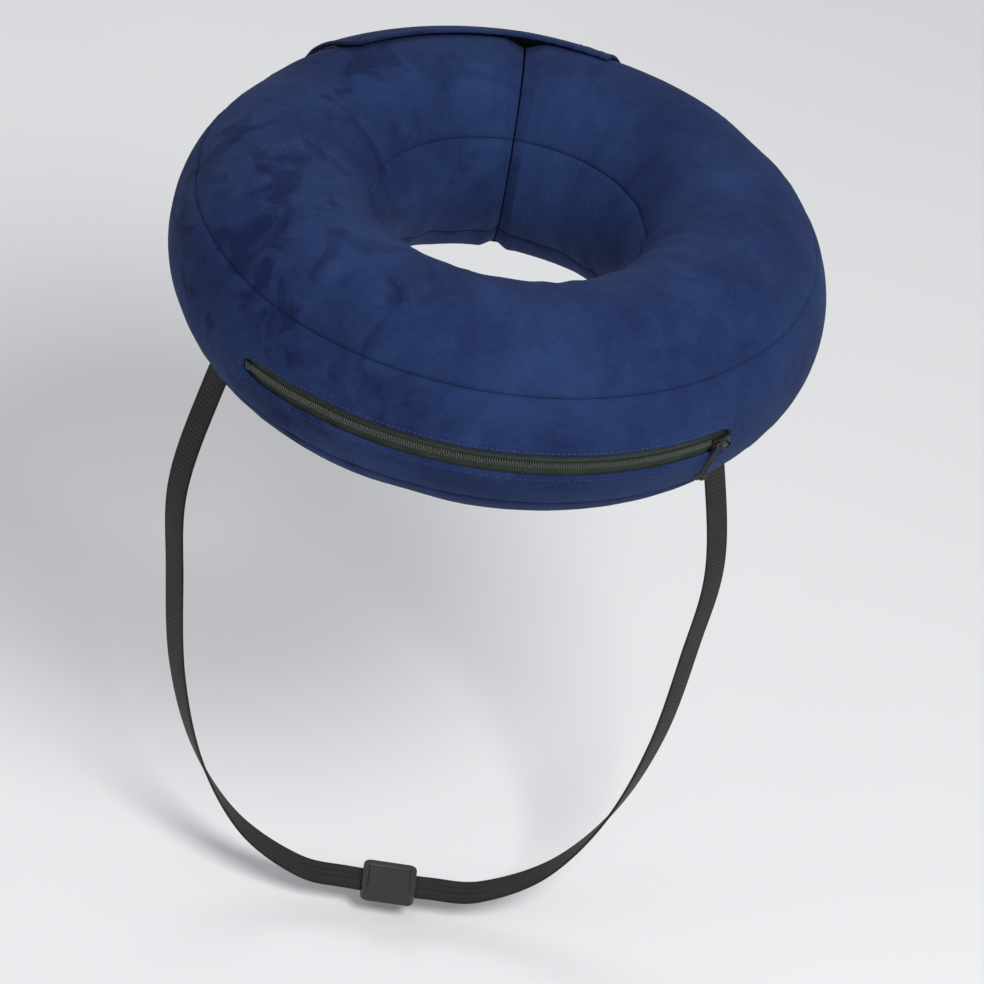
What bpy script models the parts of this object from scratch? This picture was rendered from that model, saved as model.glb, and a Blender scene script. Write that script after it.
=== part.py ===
"""Inflatable recovery collar: an inflated C-shaped ring in a sewn cover, with its zipper, tabs and strap.

Units are metres and degrees. The origin is the neck hole's centre, and +Z runs along the ring's axis
towards the wearer's head. The zipper faces -Y, and the ring opens at +Y. A place on the ring has two
angles: around the neck hole from +X, and round the tube's section from its outermost line, with 90 at
the top.
"""
import math

import bmesh
import bpy
from mathutils import Vector

# The inflated ring
NECK_RADIUS = 0.068          # the neck hole at its narrowest
TUBE_WIDTH = 0.122           # the tube's section across the ring
TUBE_HEIGHT = 0.128          # the tube's section along the ring's axis
COVER_WALL = 0.002           # brushed fabric over the bladder's film
PIECE_GAP = 0.0003           # between pieces that are sewn or seated on each other
RING_STEP = 5                # degrees between the ring's section lines

# The cover's seams
OUTER_SEAM = 34              # degrees above and below the section's outermost line
NECK_SEAM = 148
SEAM_DIP = 0.0007            # how far the stitches draw the fabric in
SEAM_DIP_REACH = 4           # degrees
GATHER_DEPTH = 0.0022        # scallops along the neck seams
GATHER_REACH = 16            # degrees
GATHER_COUNT = 18

# The split at the back
OPENING = 90                 # degrees around
SPLIT_GAP = 0.0010           # between the two end walls
END_PINCH = 0.09             # share of the section that the sewn ends draw in
END_WALL = 0.002

# The zipper
ZIP_MIDDLE = 270             # degrees around
ZIP_HALF_SPAN = 45           # degrees
ZIP_LEVEL = -0.0025          # height of its centreline
ZIP_SLOT = 0.0135            # height of the slot in the side panel
TAPE_WALL = 0.001
TAPE_MARGIN = 0.005          # sewn behind the slot's edges
TAPE_SINK = 0.0006           # below the cover's inner face
COIL_HEIGHT = 0.005
COIL_RISE = 0.0016           # how far the teeth stand above the tapes
STOP_LENGTH = 0.004
SLIDER_LENGTH = 0.012
SLIDER_WIDTH = 0.009
SLIDER_TAIL = 0.0064
SLIDER_BODY = 0.0024
BAIL_LENGTH = 0.0092
BAIL_HEIGHT = 0.0042
BAIL_WIRE = 0.0012
BAIL_STEPS = 8               # straight pieces in the bail's arch
PULL_LENGTH = 0.024
PULL_WIDTH = 0.0095
PULL_TOP = 0.0056
PULL_WIRE = 0.0015
PULL_DROOP = 65              # degrees below the zipper's line

# The closure tabs, in degrees around
TAB_SEWN_END = 70
TAB_FREE_END = 135
TAB_WALL = 0.002
TAB_CORNER = 3.5             # how far the free end's corners are cut back
PATCH_WALL = 0.001
PATCH_START = 95

# The security strap
STRAP_WIDTH = 0.020
STRAP_WALL = 0.0018
STRAP_REACH = 0.168          # half the loop's width
STRAP_DROP = 0.375           # from the ring's underside to the loop's lowest line
STRAP_LEAN = 20              # degrees forward of straight down
STRAP_SPREAD = 45            # degrees that it runs under the ring to each side of the split
STRAP_SHIFT = 0.012          # how far the hanging part's plane starts forward of that stretch's ends
KEEPER_SPREAD = 30           # degrees from the split to each keeper
KEEPER_LENGTH = 0.020
KEEPER_WALL = 0.0015
KEEPER_FOOT = 0.011
KEEPER_RAMP = 0.25           # share of each foot over which the bridge comes down
BUCKLE_LENGTH = 0.034
BUCKLE_WIDTH = 0.029
BUCKLE_HEIGHT = 0.0085
BUCKLE_CLEARANCE = 0.0004
BUCKLE_EDGE = 0.0012

# Dents and folds in the inflated cover. Degrees around, degrees round the section, then the half-length
# along the ring and the half-width across it as shares of TUBE_WIDTH, and the depth as a share of
# TUBE_HEIGHT.
DENTS = [
    # around, section, length, width, depth
    (211, 53, 0.17, 0.19, 0.034),
    (182, 41, 0.13, 0.15, 0.026),
    (241, 22, 0.10, 0.22, 0.011),
    (288, 72, 0.09, 0.27, 0.016),
    (318, 48, 0.12, 0.20, 0.010),
    (345, 84, 0.11, 0.30, 0.022),
    (364, 72, 0.10, 0.26, 0.017),
    (394, 60, 0.16, 0.22, 0.018),
    (150, 66, 0.14, 0.26, 0.018),
    (200, -58, 0.18, 0.24, 0.020),
    (258, -72, 0.15, 0.24, 0.016),
    (330, -62, 0.18, 0.22, 0.022),
    (412, -55, 0.13, 0.20, 0.016),
]

# The strap's left half below the ring, from where it leaves the ring's underside to its lowest line.
# Columns: distance from the middle as a share of STRAP_REACH, drop as a share of STRAP_DROP, and how
# far the webbing's width turns sideways.
STRAP_HANG = [
    # side, drop, turn
    (0.705, 0.012, 0.85),
    (0.815, 0.085, 0.80),
    (0.925, 0.245, 0.75),
    (0.993, 0.400, 0.75),
    (0.960, 0.540, 0.72),
    (0.900, 0.695, 0.66),
    (0.780, 0.830, 0.50),
    (0.590, 0.935, 0.30),
    (0.350, 0.992, 0.12),
    (0.150, 1.000, 0.00),
]
STRAP_STEPS = 3              # smooth steps between the route's points
STRAP_POINTS_UNDER = 6       # of the route's points, from the split to where the strap leaves the ring

# The slider's outline on one side of its middle line, after its tail: shares of half its length and of
# half its width.
SLIDER_SIDE = [
    # along, across
    (0.10, 0.85),
    (0.70, 1.00),
    (1.00, 0.60),
]

HALF_WIDTH = TUBE_WIDTH / 2
HALF_HEIGHT = TUBE_HEIGHT / 2
RING_RADIUS = NECK_RADIUS + HALF_WIDTH


def clear_scene():
    for thing in list(bpy.data.objects):
        bpy.data.objects.remove(thing)


def make_material(name, colour, roughness, metallic=0.0):
    material = bpy.data.materials.new(name)
    material.use_nodes = True
    shader = material.node_tree.nodes["Principled BSDF"]
    shader.inputs["Base Color"].default_value = (*colour, 1)
    shader.inputs["Roughness"].default_value = roughness
    shader.inputs["Metallic"].default_value = metallic
    return material


def add_object(name, bm, material):
    """Turns a bmesh into a named object whose faces point out."""
    bmesh.ops.recalc_face_normals(bm, faces=bm.faces)
    mesh = bpy.data.meshes.new(name)
    bm.to_mesh(mesh)
    bm.free()
    mesh.materials.append(material)
    mesh.shade_smooth()
    mesh.set_sharp_from_angle(angle=math.radians(40))
    thing = bpy.data.objects.new(name, mesh)
    bpy.context.scene.collection.objects.link(thing)
    return thing


def turn_between(first, second):
    """The signed angle from first to second, in degrees from -180 to 180."""
    return (second - first + 180) % 360 - 180


def bump_at(distance, reach):
    """1 at no distance, falling smoothly to 0 beyond about twice the reach."""
    return math.exp(-((distance / reach) ** 2))


def cover_dip(around, section):
    """How far the inflated cover lies inside its plain section: dents, drawn seams and neck gathers."""
    dip = 0.0
    for dent_around, dent_section, length, width, depth in DENTS:
        reach = RING_RADIUS + HALF_WIDTH * math.cos(math.radians(dent_section))
        along = math.radians(turn_between(dent_around, around)) * reach
        across = math.radians(turn_between(dent_section, section)) * HALF_HEIGHT
        hollow = bump_at(along, length * TUBE_WIDTH) * bump_at(across, width * TUBE_WIDTH)
        dip += depth * TUBE_HEIGHT * hollow
    for seam in (OUTER_SEAM, -OUTER_SEAM, NECK_SEAM, -NECK_SEAM):
        dip += SEAM_DIP * bump_at(turn_between(seam, section), SEAM_DIP_REACH)
    for seam in (NECK_SEAM, -NECK_SEAM):
        wave = 0.5 + 0.5 * math.cos(GATHER_COUNT * math.radians(around))
        dip += GATHER_DEPTH * wave * bump_at(turn_between(seam, section), GATHER_REACH)
    return dip


def end_pinch(around):
    """The share by which the section shrinks towards the sewn ends of the C."""
    return END_PINCH * max(0.0, 1 - abs(turn_between(OPENING, around)) / RING_STEP)


def tube_point(around, section, lift=0.0, pinch=None):
    """A point at lift above the inflated cover's outer face."""
    size = 1 - (end_pinch(around) if pinch is None else pinch)
    angle, slope = math.radians(around), math.radians(section)
    outward = Vector((HALF_HEIGHT * math.cos(slope), HALF_WIDTH * math.sin(slope))).normalized()
    offset = lift - cover_dip(around, section)
    reach = RING_RADIUS + size * HALF_WIDTH * math.cos(slope) + offset * outward.x
    height = size * HALF_HEIGHT * math.sin(slope) + offset * outward.y
    return Vector((reach * math.cos(angle), reach * math.sin(angle), height))


def section_at_height(height):
    """The section angle of a height on the tube's outer side."""
    return math.degrees(math.asin(height / HALF_HEIGHT))


def section_degrees(length):
    """A short length round the section, in degrees."""
    return math.degrees(length / HALF_HEIGHT)


def spread(first, last, count):
    """count + 1 evenly spaced numbers from first to last."""
    return [first + (last - first) * i / count for i in range(count + 1)]


def walled_patch(name, columns, rows, outer, inner, material, is_open=None):
    """A piece of cloth or tape on the ring: a grid of points with an outer and an inner face.

    outer and inner give a point for a column and a row, and is_open says which cells are cut out.
    """
    bm = bmesh.new()
    cells = {
        (i, j)
        for i in range(len(columns) - 1)
        for j in range(len(rows) - 1)
        if not (is_open and is_open(columns[i], columns[i + 1], rows[j], rows[j + 1]))
    }
    corners = {(i + di, j + dj) for i, j in cells for di in (0, 1) for dj in (0, 1)}
    top = {(i, j): bm.verts.new(outer(columns[i], rows[j])) for i, j in sorted(corners)}
    base = {(i, j): bm.verts.new(inner(columns[i], rows[j])) for i, j in sorted(corners)}
    for i, j in sorted(cells):
        ring = [(i, j), (i + 1, j), (i + 1, j + 1), (i, j + 1)]
        beyond = [(i, j - 1), (i + 1, j), (i, j + 1), (i - 1, j)]
        bm.faces.new([top[c] for c in ring])
        bm.faces.new([base[c] for c in reversed(ring)])
        for k in range(4):
            if beyond[k] not in cells:
                a, b = ring[k], ring[(k + 1) % 4]
                bm.faces.new([top[b], top[a], base[a], base[b]])
    return add_object(name, bm, material)


def between_lifts(name, columns, rows, outer_lift, inner_lift, material, is_open=None):
    """A walled patch whose two faces lie at two even lifts."""
    return walled_patch(
        name, columns, rows,
        lambda around, section: tube_point(around, section, outer_lift),
        lambda around, section: tube_point(around, section, inner_lift),
        material, is_open,
    )


def ring_columns():
    """The section lines round the C, from one side of the split to the other."""
    half_split = math.degrees(SPLIT_GAP / 2 / RING_RADIUS)
    steps = 360 // RING_STEP
    middle = [OPENING + RING_STEP * i for i in range(1, steps)]
    return [OPENING + half_split] + middle + [OPENING + 360 - half_split]


def zip_rows():
    """The section angles of the slot's lower and upper edges."""
    return (
        section_at_height(ZIP_LEVEL - ZIP_SLOT / 2),
        section_at_height(ZIP_LEVEL + ZIP_SLOT / 2),
    )


def panel_rows():
    """The row lines of each cover panel, with half a gap kept from each seam."""
    half_gap = section_degrees(PIECE_GAP / 2)
    slot_low, slot_high = zip_rows()
    below = spread(-OUTER_SEAM + half_gap, slot_low, 2)
    above = spread(slot_high, OUTER_SEAM - half_gap, 3)
    return {
        "top_panel": spread(OUTER_SEAM + half_gap, NECK_SEAM - half_gap, 8),
        "side_panel": below + above,
        "bottom_panel": spread(-NECK_SEAM + half_gap, -OUTER_SEAM - half_gap, 8),
        "neck_sleeve": spread(NECK_SEAM + half_gap, 360 - NECK_SEAM - half_gap, 4),
    }


def build_cover(fabric):
    """The four panels: the side panel has the zipper's slot."""
    slot_low, slot_high = zip_rows()
    zip_start, zip_end = ZIP_MIDDLE - ZIP_HALF_SPAN, ZIP_MIDDLE + ZIP_HALF_SPAN

    def in_slot(left, right, low, high):
        middle = (left + right) / 2
        level = (low + high) / 2
        return zip_start < middle < zip_end and slot_low < level < slot_high

    for name, rows in panel_rows().items():
        cut = in_slot if name == "side_panel" else None
        between_lifts(name, ring_columns(), rows, 0.0, -COVER_WALL, fabric, cut)


def build_end_walls(fabric):
    """The two flat fabric ends of the C, set just inside the panels."""
    rows = [row for lines in panel_rows().values() for row in lines]
    half_split = math.degrees(SPLIT_GAP / 2 / RING_RADIUS)
    wall = math.degrees(END_WALL / RING_RADIUS)
    for name, side in (("end_wall_left", 1), ("end_wall_right", -1)):
        bm = bmesh.new()
        outer_face = OPENING + side * half_split
        loops = []
        for around in (outer_face, outer_face + side * wall):
            points = [
                tube_point(around, row, -COVER_WALL - 2 * PIECE_GAP, end_pinch(outer_face))
                for row in sorted(rows, key=lambda row: row % 360)
            ]
            loops.append([bm.verts.new(point) for point in points])
        for loop in loops:
            bm.faces.new(loop)
        edges = [
            bm.edges.get((loop[k], loop[(k + 1) % len(loop)])) for loop in loops for k in range(len(loop))
        ]
        bmesh.ops.bridge_loops(bm, edges=edges)
        add_object(name, bm, fabric)


def zip_columns(first, last):
    """Column lines from first to last that share the ring's own lines."""
    inside = [line for line in range(0, 360, RING_STEP) if first + 1e-6 < line < last - 1e-6]
    return [first] + inside + [last]


def build_zipper(tape_cloth, teeth, metal):
    """The tapes behind the slot, the closed teeth between them, the stop, and the slider with its pull."""
    start, end = ZIP_MIDDLE - ZIP_HALF_SPAN, ZIP_MIDDLE + ZIP_HALF_SPAN
    outer_reach = RING_RADIUS + HALF_WIDTH
    margin = math.degrees(TAPE_MARGIN / outer_reach)
    slot_low, slot_high = zip_rows()
    coil_low = section_at_height(ZIP_LEVEL - COIL_HEIGHT / 2)
    coil_high = section_at_height(ZIP_LEVEL + COIL_HEIGHT / 2)
    gap = section_degrees(PIECE_GAP)
    tape_face = -COVER_WALL - TAPE_SINK
    tape_columns = zip_columns(start - margin, end + margin)
    tape_edge = section_degrees(TAPE_MARGIN)
    for name, low, high in (
        ("zipper_tape_upper", coil_high + gap, slot_high + tape_edge),
        ("zipper_tape_lower", slot_low - tape_edge, coil_low - gap),
    ):
        between_lifts(name, tape_columns, spread(low, high, 2), tape_face, tape_face - TAPE_WALL, tape_cloth)

    stop_turn = math.degrees(STOP_LENGTH / outer_reach)
    gap_turn = math.degrees(PIECE_GAP / outer_reach)
    coil_face = tape_face + COIL_RISE
    coil_columns = zip_columns(start + 2 * gap_turn + stop_turn, end - gap_turn)
    between_lifts(
        "zipper_coil", coil_columns, spread(coil_low, coil_high, 2), coil_face, tape_face - TAPE_WALL, teeth
    )
    stop_columns = [start + gap_turn, start + gap_turn + stop_turn]
    stop_rows = [coil_low - 2 * gap, coil_high + 2 * gap]
    between_lifts(
        "zipper_stop", stop_columns, stop_rows, coil_face + PIECE_GAP, tape_face + PIECE_GAP, metal
    )
    slider_turn = math.degrees(SLIDER_LENGTH / 2 / outer_reach)
    build_slider(end - slider_turn - gap_turn, coil_face + 2 * PIECE_GAP, metal)


def zip_place(around, along, up, out):
    """A point near the zipper from its distances along it, up the cover and out from the cover."""
    section = math.radians(section_at_height(ZIP_LEVEL))
    angle = math.radians(around)
    radial = Vector((math.cos(angle), math.sin(angle), 0))
    outward = math.cos(section) * radial + Vector((0, 0, math.sin(section)))
    onward = Vector((-math.sin(angle), math.cos(angle), 0))
    upward = outward.cross(onward)
    return tube_point(around, math.degrees(section)) + along * onward + up * upward + out * outward


def extruded_outline(outlines, near, far, place):
    """A flat shape pushed out from near to far. A second outline is a hole through it."""
    bm = bmesh.new()
    layers = []
    for depth in (near, far):
        layers.append([[bm.verts.new(place(a, b, depth)) for a, b in outline] for outline in outlines])
    for layer in layers:
        if len(layer) == 1:
            bm.faces.new(layer[0])
            continue
        outside, hole = layer
        for k in range(len(outside)):
            after = (k + 1) % len(outside)
            bm.faces.new([outside[k], outside[after], hole[after], hole[k]])
    for lower, upper in zip(*layers):
        for k in range(len(lower)):
            after = (k + 1) % len(lower)
            bm.faces.new([lower[k], lower[after], upper[after], upper[k]])
    return bm


def build_slider(around, seat, metal):
    """The slider's body with an arched bail on it, and the open pull that hangs from the bail."""
    top = seat + SLIDER_BODY
    side = [(-SLIDER_LENGTH / 2, SLIDER_TAIL / 2)]
    side += [(along * SLIDER_LENGTH / 2, across * SLIDER_WIDTH / 2) for along, across in SLIDER_SIDE]
    body_outline = [(along, -across) for along, across in side] + side[::-1]
    body = extruded_outline([body_outline], seat, top, lambda a, b, c: zip_place(around, a, b, c))
    slider = add_object("zipper_slider", body, metal)

    root = top - BAIL_WIRE
    outer_arch, inner_arch = [], []
    for k in range(BAIL_STEPS + 1):
        turn = math.pi * k / BAIL_STEPS
        swing, rise = math.cos(turn), math.sin(turn) ** 0.5
        outer_arch.append((swing * BAIL_LENGTH / 2, root + rise * (BAIL_HEIGHT + BAIL_WIRE)))
        inner_arch.append((swing * (BAIL_LENGTH / 2 - BAIL_WIRE), root + rise * BAIL_HEIGHT))
    arch = outer_arch + inner_arch[::-1]
    bail_bm = bmesh.new()
    sides = []
    for across in (-BAIL_WIRE / 2, BAIL_WIRE / 2):
        sides.append([bail_bm.verts.new(zip_place(around, a, across, c)) for a, c in arch])
    count = len(outer_arch)
    for side in sides:
        for k in range(count - 1):
            bail_bm.faces.new([side[k], side[k + 1], side[-k - 2], side[-k - 1]])
    for k in range(len(arch)):
        after = (k + 1) % len(arch)
        bail_bm.faces.new([sides[0][k], sides[0][after], sides[1][after], sides[1][k]])
    bail = add_object("bail_guide", bail_bm, metal)
    bail.hide_render = True
    bail.display_type = "WIRE"
    joined = slider.modifiers.new("bail", "BOOLEAN")
    joined.operation = "UNION"
    joined.object = bail

    build_pull(around, top + 2 * PIECE_GAP, metal)


def build_pull(around, seat, metal):
    """The open pull, a flat wire frame that hangs round the bail's left leg."""
    droop = math.radians(PULL_DROOP)
    leg = -(BAIL_LENGTH - BAIL_WIRE) / 2
    hang = PULL_WIRE / 2 + BAIL_WIRE / 2 + 2 * PIECE_GAP

    def frame_outline(inset):
        head, foot = inset - PULL_WIRE / 2, PULL_LENGTH - inset
        upper, lower = PULL_TOP / 2 - inset, PULL_WIDTH / 2 - inset
        cut = PULL_WIRE if inset == 0 else PULL_WIRE / 3
        return [
            (head, -upper + cut), (head, upper - cut), (head + cut, upper), (foot - cut, lower),
            (foot, lower - cut), (foot, -lower + cut), (foot - cut, -lower), (head + cut, -upper),
        ]

    def pull_place(down, across, out):
        fall = down - hang
        along = leg - fall * math.cos(droop) + across * math.sin(droop)
        up = -fall * math.sin(droop) - across * math.cos(droop)
        return zip_place(around, along, up, out)

    outlines = [frame_outline(0.0), frame_outline(PULL_WIRE)]
    frame = extruded_outline(outlines, seat, seat + PULL_WIRE, pull_place)
    add_object("zipper_pull", frame, metal)


def build_closure(fabric, pile):
    """The two tabs over the split, sewn at one end, with a pile patch under the free end of each."""
    rows = panel_rows()
    patch_top = PIECE_GAP + PATCH_WALL
    bands = (
        ("upper", rows["side_panel"][-2:-1] + rows["top_panel"][:4]),
        ("lower", rows["bottom_panel"][-3:] + rows["side_panel"][1:3]),
    )
    sewn = list(range(TAB_SEWN_END, TAB_FREE_END + 1, RING_STEP))
    patch_columns = [line for line in sewn if line >= PATCH_START]

    for name, band in bands:
        def tab_lift(around, rise=0.0):
            share = min(1.0, max(0.0, (around - TAB_SEWN_END) / (OPENING - TAB_SEWN_END)))
            return PIECE_GAP + share * patch_top + rise

        def tab_around(around, section, band=band):
            on_edge = section in (band[0], band[-1])
            return around - TAB_CORNER if around == TAB_FREE_END and on_edge else around

        def tab_point(rise, tab_around=tab_around, tab_lift=tab_lift):
            return lambda around, section: tube_point(
                tab_around(around, section), section, tab_lift(around, rise), 0.0
            )

        walled_patch(
            "closure_tab_" + name, sewn, band, tab_point(TAB_WALL), tab_point(0.0), fabric
        )
        between_lifts(
            "loop_patch_" + name, patch_columns, band[1:-1], patch_top, PIECE_GAP, pile
        )


def strap_hang(side, drop):
    """A point of the strap's hanging part, which lies in a plane that leans forward."""
    level = -(HALF_HEIGHT + PIECE_GAP + STRAP_WALL / 2)
    back = RING_RADIUS * math.cos(math.radians(STRAP_SPREAD)) - STRAP_SHIFT
    fall = drop * STRAP_DROP
    return Vector((side * STRAP_REACH, back - math.tan(math.radians(STRAP_LEAN)) * fall, level - fall))


def strap_route():
    """The strap's centreline and its width's direction, as a closed loop that starts behind the neck."""
    level = strap_hang(0, 0).z
    left = []
    for k in range(STRAP_POINTS_UNDER + 1):
        turn = math.radians(OPENING + STRAP_SPREAD * k / STRAP_POINTS_UNDER)
        way = Vector((math.cos(turn), math.sin(turn), 0))
        left.append((RING_RADIUS * way + Vector((0, 0, level)), way))
    for side, drop, turn in STRAP_HANG:
        left.append((strap_hang(-side, drop), Vector((-turn, 1, 0))))
    right = [
        (Vector((-p.x, p.y, p.z)), Vector((-w.x, w.y, w.z))) for p, w in reversed(left[1:])
    ]
    return left + right


def smooth_loop(points):
    """Points on a smooth closed curve through the given ones."""
    made = []
    count = len(points)
    for k in range(count):
        a, b, c, d = (points[(k + i - 1) % count] for i in range(4))
        for step in range(STRAP_STEPS):
            t = step / STRAP_STEPS
            bend = (2 * a - 5 * b + 4 * c - d) * t**2
            swing = (3 * b - a - 3 * c + d) * t**3
            made.append(0.5 * (2 * b + (c - a) * t + bend + swing))
    return made


def build_strap(webbing):
    """One closed band of webbing with square edges."""
    route = strap_route()
    line = smooth_loop([p for p, w in route])
    widths = smooth_loop([w for p, w in route])
    bm = bmesh.new()
    loops = []
    for k, point in enumerate(line):
        onward = (line[(k + 1) % len(line)] - line[k - 1]).normalized()
        across = (widths[k] - widths[k].dot(onward) * onward).normalized()
        facing = onward.cross(across)
        half_across, half_wall = across * STRAP_WIDTH / 2, facing * STRAP_WALL / 2
        near, far = point + half_across, point - half_across
        corners = (near + half_wall, near - half_wall, far - half_wall, far + half_wall)
        loops.append([bm.verts.new(corner) for corner in corners])
    for k, loop in enumerate(loops):
        onward_loop = loops[(k + 1) % len(loops)]
        for i in range(4):
            after = (i + 1) % 4
            bm.faces.new([loop[i], loop[after], onward_loop[after], onward_loop[i]])
    add_object("security_strap", bm, webbing)


def build_keepers(webbing):
    """Two short webbing bridges sewn under the ring, which the strap runs through."""
    half_turn = math.degrees(KEEPER_LENGTH / 2 / RING_RADIUS)
    strap_edge = math.degrees((STRAP_WIDTH / 2 + 2 * PIECE_GAP) / HALF_WIDTH)
    curve_drop = HALF_HEIGHT * (1 - math.cos(math.radians(strap_edge)))
    bridge = curve_drop + STRAP_WALL + 3 * PIECE_GAP
    foot = math.degrees(KEEPER_FOOT / HALF_WIDTH)
    ramp = strap_edge + foot * KEEPER_RAMP
    half_rows = (strap_edge, ramp, strap_edge + foot)
    rows = [-90 - row for row in reversed(half_rows)] + [-90] + [-90 + row for row in half_rows]
    lifts = dict(zip(rows, (PIECE_GAP, PIECE_GAP, bridge, bridge, bridge, PIECE_GAP, PIECE_GAP)))
    for name, side in (("strap_keeper_left", 1), ("strap_keeper_right", -1)):
        middle = OPENING + side * KEEPER_SPREAD
        walled_patch(
            name, [middle - half_turn, middle, middle + half_turn], rows,
            lambda around, section: tube_point(around, section, lifts[section] + KEEPER_WALL),
            lambda around, section: tube_point(around, section, lifts[section]),
            webbing,
        )


def build_buckle(plastic):
    """A plain closed buckle round the strap's lowest stretch."""
    lowest = strap_hang(0, 1)
    half_width, half_height = BUCKLE_WIDTH / 2, BUCKLE_HEIGHT / 2
    slot_width = STRAP_WIDTH / 2 + BUCKLE_CLEARANCE
    slot_height = STRAP_WALL / 2 + BUCKLE_CLEARANCE
    edge = BUCKLE_EDGE
    outside = [
        (-half_width, -half_height + edge), (-half_width + edge, -half_height),
        (half_width - edge, -half_height), (half_width, -half_height + edge),
        (half_width, half_height - edge), (half_width - edge, half_height),
        (-half_width + edge, half_height), (-half_width, half_height - edge),
    ]
    slot = [
        (-slot_width, -slot_height), (slot_width, -slot_height),
        (slot_width, slot_height), (-slot_width, slot_height),
    ]
    bm = bmesh.new()
    ends = []
    for along in (-BUCKLE_LENGTH / 2, BUCKLE_LENGTH / 2):
        outer = [bm.verts.new(lowest + Vector((along, a, b))) for a, b in outside]
        inner = [bm.verts.new(lowest + Vector((along, a, b))) for a, b in slot]
        ends.append((outer, inner))
    for outer, inner in ends:
        for k in range(4):
            first, second = outer[2 * k], outer[2 * k + 1]
            third = outer[(2 * k + 2) % 8]
            bm.faces.new([first, second, inner[k]])
            bm.faces.new([second, third, inner[(k + 1) % 4], inner[k]])
    for near, far in zip(*ends):
        for k in range(len(near)):
            after = (k + 1) % len(near)
            bm.faces.new([near[k], near[after], far[after], far[k]])
    add_object("strap_buckle", bm, plastic)


def main():
    clear_scene()
    fabric = make_material("navy_fabric", (0.020, 0.042, 0.135), 0.85)
    tape_cloth = make_material("zipper_tape", (0.030, 0.042, 0.038), 0.8)
    teeth = make_material("zipper_teeth", (0.045, 0.055, 0.050), 0.45)
    metal = make_material("slider_black", (0.010, 0.010, 0.011), 0.35, 0.6)
    pile = make_material("loop_pile", (0.012, 0.016, 0.035), 0.95)
    webbing = make_material("black_webbing", (0.016, 0.014, 0.014), 0.7)
    plastic = make_material("black_plastic", (0.012, 0.012, 0.012), 0.4)
    build_cover(fabric)
    build_end_walls(fabric)
    build_zipper(tape_cloth, teeth, metal)
    build_closure(fabric, pile)
    build_strap(webbing)
    build_keepers(webbing)
    build_buckle(plastic)


main()
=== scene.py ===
import math

import bmesh
import bpy
import numpy as np
from mathutils import Matrix, Quaternion, Vector


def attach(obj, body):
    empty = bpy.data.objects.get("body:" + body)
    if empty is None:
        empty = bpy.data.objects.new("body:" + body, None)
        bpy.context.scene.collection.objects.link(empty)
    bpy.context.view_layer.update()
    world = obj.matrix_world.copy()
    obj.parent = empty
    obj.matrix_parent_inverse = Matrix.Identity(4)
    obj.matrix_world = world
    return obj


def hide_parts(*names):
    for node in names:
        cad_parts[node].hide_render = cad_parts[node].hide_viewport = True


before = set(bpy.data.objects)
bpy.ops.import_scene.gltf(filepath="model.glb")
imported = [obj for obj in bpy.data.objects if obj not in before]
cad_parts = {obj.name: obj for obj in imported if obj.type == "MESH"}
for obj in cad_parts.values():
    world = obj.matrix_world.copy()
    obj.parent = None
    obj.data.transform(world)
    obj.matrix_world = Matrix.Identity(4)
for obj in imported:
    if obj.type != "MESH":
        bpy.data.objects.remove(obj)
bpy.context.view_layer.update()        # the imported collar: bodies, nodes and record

# Units are metres and degrees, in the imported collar's own frame: +Z up the neck, the zipper towards -Y.
# A place on the ring has two angles: around the neck hole from +X, and round the tube from its outermost
# line, with 90 at the top. lift is the height above the cover's outer face.


# The top of the cover
# One curved cut of brushed navy microfibre, sewn along the upper outer seam and the neck seam and blown
# tight by the air inside, so it shows soft dents, fine puckers at the seams and pulls towards the neck.

NECK_RADIUS = 0.068
TUBE_WIDTH = 0.122
TUBE_HEIGHT = 0.128
OUTER_SEAM = 34
NECK_SEAM = 148
OPENING = 90
half_width, half_height = TUBE_WIDTH / 2, TUBE_HEIGHT / 2
ring_radius = NECK_RADIUS + half_width

FABRIC_WALL = 0.0012
SEAM_ROLL = 0.0010           # how deep a panel's edge turns in at its seam
SEAM_ROLL_REACH = 0.0012
SPLIT_HALF = 0.22            # degrees from the split's middle to each end of a panel
END_PINCH = 0.09
PINCH_REACH = 5              # degrees
PANEL_COLUMNS = 720

DENTS = [
    # around, section, half-length and half-width as shares of the tube's width, depth as one of its height
    (211, 53, 0.17, 0.19, 0.034),
    (182, 41, 0.13, 0.15, 0.026),
    (241, 22, 0.10, 0.22, 0.011),
    (288, 72, 0.09, 0.27, 0.016),
    (318, 48, 0.12, 0.20, 0.010),
    (345, 84, 0.11, 0.30, 0.022),
    (364, 72, 0.10, 0.26, 0.017),
    (394, 60, 0.16, 0.22, 0.018),
    (150, 66, 0.14, 0.26, 0.018),
    (200, -58, 0.18, 0.24, 0.020),
    (258, -72, 0.15, 0.24, 0.016),
    (330, -62, 0.18, 0.22, 0.022),
    (412, -55, 0.13, 0.20, 0.016),
]

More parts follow.
